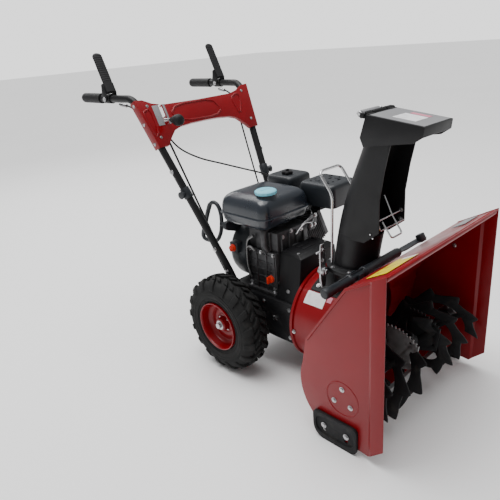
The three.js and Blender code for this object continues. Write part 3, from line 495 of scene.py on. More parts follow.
def auger(side, name):
    piece = Piece()
    for start in (96, 276):
        rings = []
        for turn in range(0, TURNS + 1, 2):
            a = radians(start + turn)
            x = 39 + LEAD * turn / 360
            ease = min(1, 0.45 + turn / 40)
            inner, outer = 104 - (104 - 76) * ease, tooth_radius(turn)
            rings.append([(side * (x + dx), HUB[0] + r * cos(a), HUB[1] + r * sin(a)) for r,
                dx in ((inner, -2), (outer, -2), (outer, 2), (inner, 2))])
        piece.rings(rings)
        for turn in (40, 220, 410):
            a = radians(start + turn)
            x = side * (39 + LEAD * turn / 360)
            m = Matrix.Rotation(a, 3, "X")
            piece.turned_box((6, 78, 16), Vector((x, *HUB)) + m @ Vector((0, 54, 0)), m)
    piece.collar("X", side * 32, side * 272, 10.4, 17, HUB, 32)
    for x in (46, 250):
        piece.bolt((side * x, HUB[0], HUB[1] + 17), (0, 0, 1), 6, 6)
    put(piece, "ribbon_" + name, MATT_BLACK, "auger_rotor", ("auger_" + name,), bevel=0.5, smooth=30)
    rim = []
    for a in range(84, 135, 6):
        rim += arc(*HUB, 119, a, a + 1.6, 1) + arc(*HUB, 113, a + 2.6, a + 4.4, 1)
    outline = [(148, 156)] + rim + [(38, 238), (48, 160), (96, 144), (126, 141)]
    obj = loose(Piece().prism("X", outline, side * 57.6, side * 62.4))
    for y, z in ((64, 238), (60, 208), (58, 178)):
        boolean(obj, Piece().rod("X", 4.5, side * 40, side * 90, (y, z), 24))
    place(obj, "paddle_" + name, MATT_BLACK if side > 0 else GREY_STEEL, "auger_rotor", bevel=0.5)


for side, name in SIDES:
    auger(side, name)
put(Piece().rod("X", 10, -283, 283, HUB, 32).rod("X", 28, -9, 9, HUB, 40), "auger_axle", STEEL, "auger_rotor",
    ("auger_shaft",), bevel=0.5)

gearbox = Piece()
gearbox.lathe("X", [(-20, 0), (-20, 34), (-16, 40), (-4, 40), (-4, 45), (4, 45), (4, 40), (16, 40), (20, 34),
    (20, 0)], HUB, 48)
gearbox.lathe("X", [(-31, 0), (-31, 16), (-29, 18), (29, 18), (31, 16), (31, 0)], HUB, 32)
gearbox.lathe("Y", [(84, 0), (84, 18), (88, 23), (170, 23), (176, 20), (176, 0)], BARREL, 40)
for a in range(0, 360, 60):
    y, z = polar(*HUB, 42, a)
    gearbox.bolt((4, y, z), (1, 0, 0), 3.6, 4, False)
put(gearbox, "gear_case", MATT_BLACK, replaces=("auger_gearbox",), bevel=0.6)


# ---- impeller and its housing ----
def barrel():
    outer = Piece().lathe("Y", [(190, 0), (190, 150), (412, 150), (414, 156), (423, 156), (424, 155), (424, 0)],
        BARREL, 120)
    obj = boolean(loose(outer), Piece().rod("Y", 147, 150, 418, BARREL, 120))
    boolean(obj, Piece().prism("X", FRONT_SPACE, -400, 400))
    boolean(obj, Piece().rod("Z", 62, 280, 420, SEAT, 64))
    boolean(obj, Piece().rod("Y", 9.8, 380, 440, BARREL, 32))
    place(obj, "barrel_sheet", RED, replaces=("impeller_housing",), bevel=0.5)


barrel()
housing_bolts = Piece()
for a in (35, 80, 130, 200, 240, 300, 340):
    x, z = polar(*BARREL, 135, a)
    housing_bolts.bolt((x, 424, z), (0, 1, 0), 5.5, 4)
housing_bolts.bolt((-151.5, 410, 190), (-1, 0, 0), 5, 4)
put(housing_bolts, "barrel_bolts", STEEL)


def band(a0, a1, y0, y1, name, finish):
    angles = [radians(a0 + (a1 - a0) * i / 12) for i in range(13)]
    sheet = Piece().rings([[(150.7 * cos(a), y, 200 + 150.7 * sin(a)) for a in angles] for y in (y0, y1)], cap=False,
        loop=False)
    put(sheet, name, finish)


band(129, 145, 318, 390, "housing_label", WHITE)
band(129, 136, 298, 314, "housing_label_small", PINK)

for node, finish in (("impeller_shaft", STEEL), ("impeller", RED), ("impeller_pulley", STEEL),
    ("crank_pulley", STEEL), ("idler_arm", STEEL),
        ("drive_disc", ALLOY), ("hex_shaft", STEEL), ("axle", STEEL), ("friction_wheel",
        RUBBER), ("belt", RUBBER)):
    frame["nodes"][node].data.materials[0] = finish


def chute_base():
    base = loose(Piece().lathe("Z", [(300, 0), (300, 67), (392, 67), (392, 88), (398, 88), (398, 0)], SEAT, 72))
    saddle = loose(Piece().rod("Y", 154, 240, 384, BARREL, 120))
    boolean(saddle, Piece().box(-92, 92, 239, 385, 290, 380), "INTERSECT")
    boolean(base, saddle, "UNION")
    boolean(base, Piece().rod("Y", 150.3, 150, 460, BARREL, 120))
    boolean(base, Piece().prism("X", FRONT_SPACE, -400, 400))
    boolean(base, Piece().rod("Z", 62, 280, 420, SEAT, 64))
    place(base, "chute_saddle", BLACK, replaces=("chute_base",), bevel=0.6)


chute_base()
saddle_bolts = Piece()
for x, y in ((-78, 252), (-78, 366), (78, 252), (78, 366)):
    z = 200 + sqrt(154 ** 2 - x * x)
    saddle_bolts.bolt((x, y, z), (x, 0, z - 200), 5, 4)
put(saddle_bolts, "saddle_bolts", STEEL)

# ---- chute ----
SPINE = spline([(283, 404, 0), (273, 470, 0), (252, 565, 0), (221, 657, 0), (188, 740, 0), (149, 845, 0)], 200)


def spine(z):
    for a, b in zip(SPINE, SPINE[1:]):
        if b.y >= z:
            return a.x + (b.x - a.x) * (z - a.y) / (b.y - a.y)
    return SPINE[-1].x


def front(z):
    table = ((500, 214), (537, 166), (626, 166), (700, 154), (775, 137), (850, 121))
    for (z0, y0), (z1, y1) in zip(table, table[1:]):
        if z <= z1:
            return y0 + (y1 - y0) * (z - z0) / (z1 - z0)
    return table[-1][1]


def sheared(obj, point, normal):
    """Cuts off what lies past a plane and leaves the edge open."""
    mesh = bmesh.new()
    mesh.from_mesh(obj.data)
    bmesh.ops.bisect_plane(mesh, geom=mesh.verts[:] + mesh.edges[:] + mesh.faces[:], plane_co=P(*point),
            plane_no=Vector(normal).normalized(), clear_outer=True)
    mesh.to_mesh(obj.data)
    mesh.free()


def chute():
    tube = Piece()
    levels = [398.3, 420, 440, 460, 480, 495, 508]
    tube.rings([[(x, y, z) for x, y in arc(0, spine(z), 64.8, 0, 360 * 63 / 64, 63)] for z in levels], cap=False)
    channel = Piece()
    levels = [500, 512, 524, 537, 560, 590, 626, 660, 700, 740, 775, 800, 822, 845]
    rings = []
    for z in levels:
        c = spine(z)
        half = [(x, y) for x, y in arc(0, c, 65, 0, 180, 40)]
        f = front(z)
        side = [f + (c - f) * t for t in (0, 0.02, 0.25, 0.5, 0.75)]
        ring = [(65, y) for y in side] + half + [(-65, y) for y in side[::-1]]
        rings.append([(x * 0.992, y, z) for x, y in ring])
    channel.rings(rings, cap=False, loop=False)
    for piece, name in ((tube, "chute_tube"), (channel, "chute_channel")):
        obj = loose(piece)
        if piece is channel:
            sheared(obj, (0, 130, 768), (0, -0.717, 1))
            sheared(obj, (0, 0, 833), (0, 0, 1))
        place(thick(obj), name, BLACK, "chute_turning", ("chute",), bevel=0.4, smooth=30)
    trim = Piece()
    trim.lathe("Z", [(398.3, 62), (398.3, 88), (403.3, 88), (403.3, 66), (407, 65), (407, 62), (398.3, 62)], SEAT, 72)
    for side in (-1, 1):
        trim.rod("X", 7, side * 69.3, side * 73, HINGE, 24)
    trim.rod("X", 4.7, -70, 70, HINGE, 24).rod("X", 8.6, -30, 30, HINGE, 32)
    trim.box(-28, 28, 207, 221, 792, 838)
    put(trim, "chute_flange", BLACK, "chute_turning", bevel=0.8)
    bolts = Piece()
    for a in range(20, 360, 45):
        x, y = polar(*SEAT, 79, a)
        bolts.bolt((x, y, 403.3), (0, 0, 1), 4.5, 4)
    for x, z in ((62, 568), (62, 541)):
        bolts.bolt((x, 177, z), (-1, 0, 0), 4.5, 5)
        bolts.bolt((65, 177, z), (1, 0, 0), 4.5, 4)
    for y, z in ((192, 530), (184, 520)):
        bolts.bolt((-65, y, z), (-1, 0, 0), 2.6, 2, False)
    put(bolts, "chute_bolts", STEEL, "chute_turning")


chute()
from_cad("deflector", BLACK, 0.7, "deflector_hood")
sleeve = Piece().lathe("X", [(-64, 0), (-64, 8), (-62, 9.6), (10, 9.6), (12, 8), (12, 0)], (222, 846), 32)
put(sleeve, "deflector_sleeve", GREY, "spout")
eyes = Piece()
for x in (-72, 20):
    eyes.sweep([(x + dx, 222 + 7 * cos(t), 846 + 7 * sin(t)) for t,
        dx in [(pi * 2 * i / 16, i * 0.25) for i in range(17)]], 1.8, 8)
eyes.rod("X", 3, -74, 24, (222, 846), 16)
put(eyes, "deflector_wire", CHROME, "spout")
plane = Matrix.Rotation(atan2(22, 160), 3, "X")
for title, finish, size, x, y, lift in (("deflector_sheet", GREY, (128, 150, 0.8), 0, 124, 0.5),
        ("deflector_label", WHITE, (62, 64, 0.6), -8, 118, 1.2),
        ("deflector_label_side", PINK, (16, 54, 0.6), 36, 114, 1.2)):
    middle = Vector((x, y, 823 + (y - 46) * 0.1375)) + plane @ Vector((0, 0, lift))
    put(Piece().turned_box(size, middle, plane), title, finish, "spout")

guard = Piece()
guard.sweep(rounded([(61.5, 175, 568), (-57, 175, 568), (-57, 168, 541), (61.5, 168, 541)], 9), 2.5)
guard.sweep(rounded([(12, 200, 619), (12, 174, 565), (12, 142, 522), (-40, 142, 522), (-40, 172, 562)], 9), 2.5)
put(guard, "guard_wire", CHROME, "chute_turning", ("chute_guard",))
loop = Piece().sweep(rounded([(-50, 335, 404), (-50, 329, 614), (-50, 375, 677), (50, 375, 677), (50, 329, 614),
    (50, 335, 404)], 20, 10), 4, 18)
put(loop, "turning_handle", CHROME, "chute_turning", ("chute_handle",))

latch = Piece()
latch.prism("Y", chaikin([(-106, 345), (-80, 345), (-84, 480), (-106, 480)], 1), 333, 337)
latch.prism("Y", chaikin([(-104, 350), (-74, 372), (-70, 396), (-80, 408), (-104, 400)], 2), 337, 341)
latch.lathe("Y", [(325, 0), (325, 11), (327, 13), (345, 13), (347, 11), (347, 0)], (-93, 396), 32)
latch.bolt((-93, 325, 396), (0, -1, 0), 8, 6)
latch.bolt((-94, 333, 430), (0, -1, 0), 5, 4)
latch.bolt((-94, 333, 462), (0, -1, 0), 5, 4)
latch.spring((-93, 341, 405), (-93, 341, 452), 6, 1.2, 7)
latch.sweep(rounded([(-112, 342, 455), (-84, 342, 455), (-84, 346, 474)], 6), 3, 10)
put(latch, "latch_parts", STEEL, replaces=("chute_latch",), bevel=0.4)

# ---- clean-out tool ----
TOOL = (196, 428)
tool = Piece()
tool.lathe("X", [(-264, 0), (-264, 11), (-261, 13.5), (-256, 14), (-239, 14), (-237, 13), (-161, 13), (-159, 15),
    (-157, 15.5), (-151, 15.5),
        (-149, 11), (-96, 11), (-94, 14.5), (-92, 15.5), (-85, 15.5), (-82, 14), (78, 14), (86, 12), (90,
        7), (90, 0)], TOOL, 40)
tool.prism("Z", chaikin([(84, 184), (236, 186), (240, 196), (236, 206), (84, 208)], 1), 426, 430)
tool.sweep([(-200, 196, 441.5), (40, 196, 441.5)], 1.6, 8)
put(tool, "tool_handle", PLASTIC, "tool", ("clean_out_tool",), bevel=0.5)
from_cad("tool_clip", PLASTIC, 1.0)
lean_back = Matrix.Rotation(radians(-28), 3, "X")
put(Piece().turned_box((26, 20, 26), (205, 190, 436), lean_back), "tool_stop", PLASTIC, "tool", bevel=3.5, segments=3)

slope = atan2(541 - 480, -114)
top_tilt = Matrix.Rotation(-atan2(61, 114), 3, "X")


def on_top(x, y, size, lift=2.2):
    z = 541 - (541 - 480) * y / 114
    n = Vector((0, 61, 114)).normalized()
    return size, Vector((x, y, z)) + n * lift, top_tilt


put(Piece().turned_box(*on_top(-172, 57, (142, 62, 0.6), 0.4)), "warning_label", YELLOW)
put(Piece().turned_box(*on_top(-112, 48, (16, 40, 0.6), 0.8)), "warning_label_plain", WHITE)
put(Piece().turned_box(*on_top(222, 66, (86, 44, 0.6), 0.4)), "corner_label", GREY)

# ---- belt cover and frame ----
outline = [(-84, 400), (-76, 412), (76, 412), (84, 400), (99, 300), (116, 258.4), (-116, 258.4), (-99, 300)]
shell = loose(Piece().prism("Y", outline, 427, 513))
boolean(shell, Piece().prism("X", [(400, 392), (400, 440), (448, 440), (448, 420), (432, 404)], -200, 200))
hollow = loose(Piece().prism("Y", [(-81, 399), (-75, 409), (75, 409), (81, 399), (96, 299.5), (112, 250), (-112, 250),
    (-96, 299.5)], 430, 510))
boolean(hollow, Piece().prism("X", [(400, 380), (400, 440), (454, 440), (454, 418), (434, 398)], -200, 200))
boolean(shell, hollow)
boolean(shell, Piece().rod("Y", 14, 500, 530, (0, 368), 40))
place(shell, "belt_guard", BLACK, replaces=("belt_cover",), bevel=1.6)
ridges = Piece()
for x in (-60, 60):
    ridges.sweep([(x, 440, 409), (x, 505, 413)], 2.2, 10)
ridges.box(-30, 30, 462, 476, 411, 414)
ridges.box(-30, 30, 484, 498, 411, 414)
put(ridges, "cover_ridges", BLACK, bevel=1)
cover_bolts = Piece()
for x in (-66, 66):
    cover_bolts.bolt((x, 452, 410.5), (0, 0, 1), 5, 4)
for x, z in ((-100, 290), (100, 290)):
    cover_bolts.bolt((x * 1.03, 470, z), (x, 0, 12), 5, 4)
for side in (-1, 1):
    for y, z in ((450, 140), (450, 240), (560, 140), (560, 240), (705, 140)):
        cover_bolts.bolt((side * 125.5, y, z), (side, 0, 0), 5, 4)
put(cover_bolts, "frame_bolts", STEEL)
from_cad("frame_box", BLACK, 1.2)

# ---- wheels ----
AXLE = (659, 165)
WHEEL_X = 207


def tyre(side, name):
    piece = Piece()
    half = [(43, 84), (46, 92), (50, 104), (51, 118), (49.5, 131), (45, 142), (37, 150), (26, 153.5), (12, 155),
        (0, 155.5)]
    profile = half + [(-x, r) for x, r in half[-2::-1]] + [(-40, 83.9), (40, 83.9), (43, 84)]
    piece.lathe("X", [(side * (WHEEL_X + x), r) for x, r in profile], AXLE, 96)

    def surface(u, t, lift):
        """u runs across the tread from -1 to 1 and down both shoulders; t is the angle."""
        a = abs(u)
        table = ((0, 0, 155.5), (0.25, 12, 155), (0.5, 26, 153.5), (0.75, 37, 150), (0.9, 45, 142), (1.0, 48, 135),
            (1.15, 50, 125))
        for (a0, x0, r0), (a1, x1, r1) in zip(table, table[1:]):
            if a <= a1:
                f = (a - a0) / (a1 - a0)
                x, r = x0 + (x1 - x0) * f, r0 + (r1 - r0) * f
                break
        out = min(1, max(0, (a - 0.7) / 0.45))
        x += lift * 0.45 * out
        r += lift * (1 - 0.55 * out)
        x *= 1 if u >= 0 else -1
        return (side * WHEEL_X + x, AXLE[0] + r * cos(t), AXLE[1] + r * sin(t))

    count = 17
    step = 2 * pi / count
    for k in range(count):
        for hand in (1, -1):
            t0 = k * step + (step / 2 if hand < 0 else 0)
            for lug in (((0.04, 0.0), (0.5, 0.42), 0.13), ((0.58, 0.42), (1.1, 0.62), 0.17),
                ((0.2, 0.62), (0.48, 0.86), 0.1)):
                (u0, s0), (u1, s1), width = lug
                top, low = [], []
                for f in (0, 0.25, 0.5, 0.75, 1):
                    u = (u0 + (u1 - u0) * f) * hand
                    t = t0 + step * (s0 + (s1 - s0) * f)
                    w = step * width
                    top.append([surface(u, t - w, 9.3), surface(u, t + w, 9.3)])
                    low.append([surface(u, t - w * 1.3, -1), surface(u, t + w * 1.3, -1)])
                rings = [[lo[0], to[0], to[1], lo[1]] for lo, to in zip(low, top)]
                piece.rings(rings)
    put(piece, "tyre_casing_" + name, RUBBER, "wheels", ("tyre_" + name,), bevel=0.7, smooth=30)
    wall = Piece()
    for r, w in ((98, 1.2), (112, 0.8), (122, 0.8)):
        for s in (-1, 1):
            x = WHEEL_X * side + s * (48.5 if r < 105 else 50.5 if r < 118 else 50.7)
            wall.sweep([(x, AXLE[0] + r * cos(t), AXLE[1] + r * sin(t)) for t in [2 * pi * i / 96 for i in range(97)]], w, 6)
    put(wall, "tyre_ribs_" + name, RUBBER, "wheels")


def rim(side, name):
    outer = [(51, 83), (51, 80), (49, 78.5), (44, 77), (24, 76), (18, 73), (13, 66), (11, 58), (14, 50), (15, 40),
        (12, 34), (12, 27)]
    inner = [(6, 27), (6, 34), (8, 42), (7, 52), (4, 60), (7, 72), (0, 76), (-44, 77), (-50, 79), (-51, 83)]
    profile = outer + inner + [(51, 83)]
    piece = Piece().lathe("X", [(side * (WHEEL_X + x), r) for x, r in profile], AXLE, 96)
    put(piece, "rim_dish_" + name, RED, "wheels", ("rim_" + name,), smooth=50)
    hub = Piece()
    core = Piece().lathe("X", [(side * (WHEEL_X + x), r) for x,
        r in ((34, 9.8), (34, 20), (32, 22), (14, 25), (14, 34), (12.5, 35), (5, 35), (5, 22), (-46, 22), (-46, 9.8),
            (34, 9.8))], AXLE, 48)
    put(core, "hub_core_" + name, RED, "wheels", bevel=0.6)
    hub.collar("X", side * 240.5, side * 243, 9.7, 16, AXLE, 32)
    for k in range(4):
        y, z = polar(*AXLE, 25, 45 + 90 * k)
        hub.bolt((side * 221, y, z), (side, 0, 0), 4.2, 5, False)
    hub.sweep([(side * 236, AXLE[0] - 22, AXLE[1] + 3), (side * 236, AXLE[0] + 22, AXLE[1] - 3)], 2.2, 10)
    put(hub, "hub_" + name, STEEL, "wheels", bevel=0.4)
    valve = Piece().sweep([(side * 219, AXLE[0] - 48, AXLE[1] + 40), (side * 238, AXLE[0] - 50, AXLE[1] + 42)],
        lambda t: 4.5 - 2 * t, 16)
    put(valve, "valve_" + name, RUBBER, "wheels")


for side, name in SIDES:
    tyre(side, name)
    rim(side, name)

# ---- engine ----
CRANK = (0, 368)
case = Piece()
case.box(-98, 62, 522, 650, 262, 404).box(-84, 62, 522, 650, 400, 468).box(-110, 80, 518, 650, 258.3, 269)
case.lathe("Y", [(514, 10.4), (514, 38), (517, 44), (530, 44), (530, 10.4), (514, 10.4)], CRANK, 48)
for z in (286, 312, 338, 364, 390):
    case.box(-101, -90, 528, 646, z, z + 4)
for y in (526, 560, 604, 644):
    case.box(-102, -90, y, y + 5, 268, 402)
for x in (-70, -35, 0, 35):
    case.box(x, x + 4, 516, 526, 270, 460)
case.box(-92, -60, 548, 612, 404, 470)
case.rod("X", 15, -103, -90, (540, 316), 28)
case.sweep(rounded([(-86, 560, 404), (-104, 562, 420), (-100, 566, 470), (-80, 570, 482)], 14), 12, 16)
put(case, "crankcase_casting", ALLOY, replaces=("crankcase",), bevel=1.6)
bracket = Piece().sweep(spline([(-104, 612, 452), (-106, 638, 430), (-107, 644, 390), (-106, 644, 340),
    (-103, 634, 300)], 24), 7, 12, 0.35)
bracket.sweep(spline([(-106, 606, 400), (-109, 624, 412), (-108, 640, 404)], 12), 4, 10)
put(bracket, "shroud_bracket", GREY_STEEL)
case_bolts = Piece()
for y, z in ((532, 280), (532, 396), (640, 280), (640, 396), (586, 396)):
    case_bolts.bolt((-98, y, z), (-1, 0, 0), 5, 5)
for x, y in ((-102, 530), (-102, 636), (72, 530), (72, 636)):
    case_bolts.bolt((x, y, 269), (0, 0, 1), 5.5, 5)
for x, z in ((-60, 450), (-20, 460), (30, 452), (-84, 300)):
    case_bolts.bolt((x, 522, z), (0, -1, 0), 5, 5)
put(case_bolts, "crankcase_bolts", STEEL)

tilt = radians(25)
head = Piece()
lean = Matrix.Rotation(-tilt, 3, "Y")


def along(x0, x1, half_y, half, y=585):
    size = (x1 - x0, half_y * 2, half * 2)
    centre = Vector((0, y, 368)) + lean @ Vector(((x0 + x1) / 2, 0, 0))
    head.turned_box(size, centre, lean)


along(66, 184, 43, 43)
for i in range(10):
    along(80 + i * 8, 83 + i * 8, 58, 56)
along(160, 176, 56, 54)
along(176, 186, 44, 44)
put(head, "cylinder_casting", ALLOY, replaces=("cylinder_head",), bevel=0.9)
head_bolts = Piece()
for y, z in ((-34, -34), (34, -34), (-34, 34), (34, 34)):
    head_bolts.bolt(Vector((0, 585 + y, 368)) + lean @ Vector((186, 0, z)), lean @ Vector((1, 0, 0)), 5.5, 5)
put(head_bolts, "cylinder_bolts", STEEL)
plug = Piece().sweep([Vector((0, 585, 368)) + lean @ Vector((x, 0, 20)) for x in (184, 196, 212)], 9, 18)
plug.sweep(spline([Vector((0, 585, 368)) + lean @ Vector((204, 0, 20)), (196, 600, 470), (150, 640, 478),
    (104, 656, 450)], 24), 3.4, 10)
put(plug, "plug_boot", RUBBER)


def recoil():
    piece = Piece().lathe("Y", [(651, 0), (651, 108), (653, 109), (704, 109), (716, 108), (726, 104), (732, 98),
        (735, 88), (736, 82), (744, 78), (746, 74),
            (746, 0)], CRANK, 96)
    obj = loose(piece)
    vents = Piece()
    for k in range(20):
        a = radians(18 * k)
        m = Matrix.Rotation(-a, 3, "Y")
        vents.turned_box((24, 14, 5), Vector((0, 746, 368)) + m @ Vector((56, 0, 0)), m)
    boolean(obj, vents)
    place(obj, "fan_cover", PLASTIC, replaces=("recoil_housing",), bevel=0.8, smooth=32)
    extra = Piece()
    extra.box(-124, -60, 672, 708, 380, 416)
    extra.prism("Y", [(-60, 430), (-120, 452), (-128, 460), (-128, 476), (-122, 481), (-106, 481), (-40, 455)], 714,
        732)
    extra.lathe("Y", [(744, 0), (744, 26), (750, 22), (750, 0)], CRANK, 40)
    put(extra, "fan_cover_arms", PLASTIC, bevel=2)


recoil()
switch = Piece().lathe("X", [(-124.3, 0), (-124.3, 13), (-128, 13), (-129, 11), (-136, 10), (-137, 8), (-137, 0)],
    (690, 398), 28)
switch.box(-139, -128, 686.5, 693.5, 388, 408)
put(switch, "switch_knob", ORANGE, "switch", ("engine_switch",), bevel=1)
grip = Piece()
loop = chaikin([(753.5, 470), (753.5, 499), (759, 520), (770, 534), (786, 537.5), (800, 533), (813, 519),
    (860.5, 417), (864.5, 401), (859, 391), (846, 388.5),
        (808, 390.5), (782, 402), (763, 432)], 2)
rings = []
for i, (y, z) in enumerate(loop):
    (y0, z0), (y1, z1) = loop[i - 1], loop[(i + 1) % len(loop)]
    out = Vector((0, z1 - z0, y0 - y1)).normalized()
    wide = 9 if y > 795 and 400 < z < 525 else 7
    rings.append([Vector((-111, y, z)) + out * wide * cos(a) + Vector((7 * sin(a), 0,
        0)) for a in [2 * pi * k / 14 for k in range(14)]])
rings.append(rings[0])
grip.rings(rings, cap=False)
grip.lathe("Y", [(732.3, 0), (732.3, 5), (744, 8), (756, 9), (756, 0)], (-111, 466), 24)
put(grip, "starter_loop", PLASTIC, "starter_grip", ("pull_grip",))
put(Piece().lathe("X", [(-98.3, 0), (-98.3, 12), (-110, 12), (-112, 10), (-112, 0)], (540, 316), 28, lambda t,
    r: 1 + 0.05 * cos(9 * t)).box(-124, -110, 536.5, 543.5, 305, 327),
    "oil_cap", ORANGE, "plug", ("oil_plug",), bevel=1)


# ---- tank, heater box and silencer guard ----
def rounded_ring(x0, x1, y0, y1, r, z, steps=8):
    out = []
    for cx, cy, a in ((x1 - r, y1 - r, 0), (x0 + r, y1 - r, 90), (x0 + r, y0 + r, 180), (x1 - r, y0 + r, 270)):
        out += [(x, y, z) for x, y in arc(cx, cy, r, a, a + 90, steps)]
    return out


def tank():
    levels = [(484, 32, 16), (486, 24, 20), (490, 14, 25), (500, 8, 27), (519, 5, 28), (520, 0.5, 31), (521, 0, 32),
        (524.5, 0, 32), (525.5, 0.5, 31),
            (526, 4, 29), (545, 5, 29), (560, 8, 28), (568, 11.5, 27), (575, 17, 26), (581, 25, 25), (585.5, 35,
            23), (588.5, 48, 20), (590, 66, 14), (590.4, 80, 8)]
    piece = Piece().rings([rounded_ring(-143 + p, 86 - p, 517 + p, 734 - p, r, z) for z, p, r in levels])
    put(piece, "tank_shell", TANK, replaces=("fuel_tank",), smooth=50)
    seam = Piece().rings([rounded_ring(-144, 87, 516, 735, 33, 521), rounded_ring(-144, 87, 516, 735, 33, 524.5)])
    put(seam, "tank_seam", TANK, bevel=0.8)
    put(Piece().lathe("Z", [(574, 0), (574, 36), (586, 31), (591, 28), (591, 0)], (-76, 568), 48), "tank_neck", TANK)
    cap = Piece().lathe("Z", [(591.3, 0), (591.3, 33), (593, 34), (600, 34), (603, 31), (605, 26), (605.4, 10),
        (605.4, 0)], (-76, 568), 96,
            lambda t, r: 1 + (0.035 * max(-0.2, cos(14 * t)) if r > 28 else 0))
    cap.box(-98, -54, 565, 571, 604, 606)
    put(cap, "tank_cap", BLUE, "cap", ("fuel_cap",), smooth=30)


tank()


def cover(x0, x1, y0, y1, bottom, top, name, node):
    levels = [(bottom, 0), (top - 16, 0), (top - 9, 1), (top - 4, 4), (top - 1, 9), (top, 16)]
    piece = Piece().rings([rounded_ring(x0 + p, x1 - p, y0 + p, y1 - p, max(17 - p / 2, 8), z, 6) for z, p in levels],
        cap=False)
    piece.faces([(x, y, top) for x, y, _ in rounded_ring(x0 + 16, x1 - 16, y0 + 16, y1 - 16, 9, top, 6)],
        [tuple(range(28))])
    return place(thick(loose(piece)), name, PLASTIC, replaces=(node,), bevel=0.5, smooth=40)


cover(91, 206, 616, 732, 508, 596, "heater_cover", "heater_box")
strap = Piece().rings([rounded_ring(90, 207, 615, 733, 18, 534), rounded_ring(90, 207, 615, 733, 18, 540)])
put(strap, "heater_band", PLASTIC, bevel=0.8)
star = Piece().lathe("Z", [(596.3, 0), (596.3, 15), (599, 17), (605, 17), (608, 14), (608, 0)], (130, 662), 80,
    lambda t, r: 1 + (0.2 * cos(5 * t) if r > 8 else 0))
star.rod("Z", 6, 600, 614, (130, 662), 24)
put(star, "heater_knob", MATT_BLACK, "box_knob", ("heater_box_knob",), bevel=0.8)
carburettor = Piece().box(104, 152, 648, 684, 488, 560).rod("Y", 18, 628, 650, (122, 516), 28).rod("X", 14, 150, 180,
    (664, 505), 24)
put(carburettor, "carburettor", ALLOY, bevel=1.5)


def silencer():
    obj = cover(88, 222, 434, 578, 516, 592, "silencer_guard", "muffler_guard")
    holes = Piece()
    for y in (470, 506, 542):
        for x in (112, 136):
            holes.prism("Z", arc(x, y, 4, 0, 350, 15), 570, 600)
    for x, y in ((168, 470), (168, 506), (168, 542), (194, 488), (194, 524)):
        holes.prism("Z", arc(x + 5, y, 4, -90, 90, 8) + arc(x - 5, y, 4, 90, 270, 8), 570, 600)
    for y in range(452, 570, 16):
        holes.box(216, 228, y, y + 8, 534, 572)
    boolean(obj, holes)
    obj.data.name = "silencer_guard"
    inner = Piece().rod("Y", 30, 440, 572, (158, 548), 40).box(128, 172, 520, 556, 488, 540)
    put(inner, "silencer_body", MATT_BLACK, bevel=1)
    trim = Piece()
    for x in (100, 210):
        trim.sweep([(x, 452, 590.5), (x, 560, 590.5)], 1.6, 8)
    for x, y in ((124, 488), (182, 488), (124, 524)):
        trim.lathe("Z", [(591.6, 0), (591.6, 9.5), (594, 8), (594, 0)], (x, y), 28)
    put(trim, "silencer_trim", PLASTIC)


silencer()
bits = Piece()
bits.sweep(spline([(-20, 500, 452), (20, 498, 478), (70, 505, 470), (104, 540, 500)], 24), 2, 8)
bits.spring((14, 506, 470), (74, 506, 488), 4, 0.9, 12)
bits.bolt((66, 508, 456), (0, -1, 0), 5, 4)
bits.bolt((88, 508, 486), (0, -1, 0), 5, 4)
bits.bolt((84, 508, 456), (0, -1, 0), 4, 4)
put(bits, "governor_linkage", STEEL, bevel=0.3)
put(Piece().prism("Y", chaikin([(50, 440), (92, 440), (98, 490), (60, 496)], 1), 508.5, 511), "governor_plate", ALLOY,
    bevel=0.4)
hose = Piece().sweep(spline([(-20, 600, 486), (10, 640, 470), (60, 664, 470), (104, 668, 500)], 24), 4, 12)
put(hose, "fuel_hose", RUBBER)

# ---- handle ----
GRIP_X, LEVER_Z = 247, 889


def handle(side, name):
    route = [(138.5, 630, 175), (138.5, 692, 300), (236.3, 983, LEVER_Z), (GRIP_X, 1062, LEVER_Z),
        (GRIP_X, 1286, LEVER_Z)]
    tube = Piece().sweep(rounded([(side * x, y, z) for x, y, z in route], 50, 12), 12.5, 28)
    put(tube, "tube_" + name, BLACK, replaces=("handle_tube_" + name,), bevel=0.8)
    grip = Piece()
    profile = [(1168, 13), (1168, 16), (1170, 17.5), (1175, 17.5), (1177, 16.4)]
    y = 1177
    while y < 1282:
        profile += [(y, 16.2), (y + 2, 17), (y + 5, 17), (y + 7, 16.2)]
        y += 7.5
    profile += [(1286, 16.8), (1290, 15.5), (1292, 12), (1292, 0)]
    grip.lathe("Y", profile, (side * GRIP_X, LEVER_Z), 40)
    put(grip, "grip_sleeve_" + name, GRIP, replaces=("grip_" + name,), smooth=30)
    bolts = Piece()
    for t in (0.03, 0.16, 0.6):
        bolts.bolt((side * (138.5 + 97.8 * t + 11.5), 692 + 291 * t, 300 + 589 * t), (side, 0, 0), 6, 6)
    put(bolts, "handle_bolts_" + name, STEEL)
    knob = Piece().sweep([(side * 194, 829, 581), (side * 214, 825, 580)], lambda t: 8 + 5 * t, 20)
    knob.sweep([(side * 182.6, 823, 565.5), (side * 188, 839.5, 598.5)], 16, 20)
    put(knob, "clamp_knob_" + name, PLASTIC, bevel=0.8)


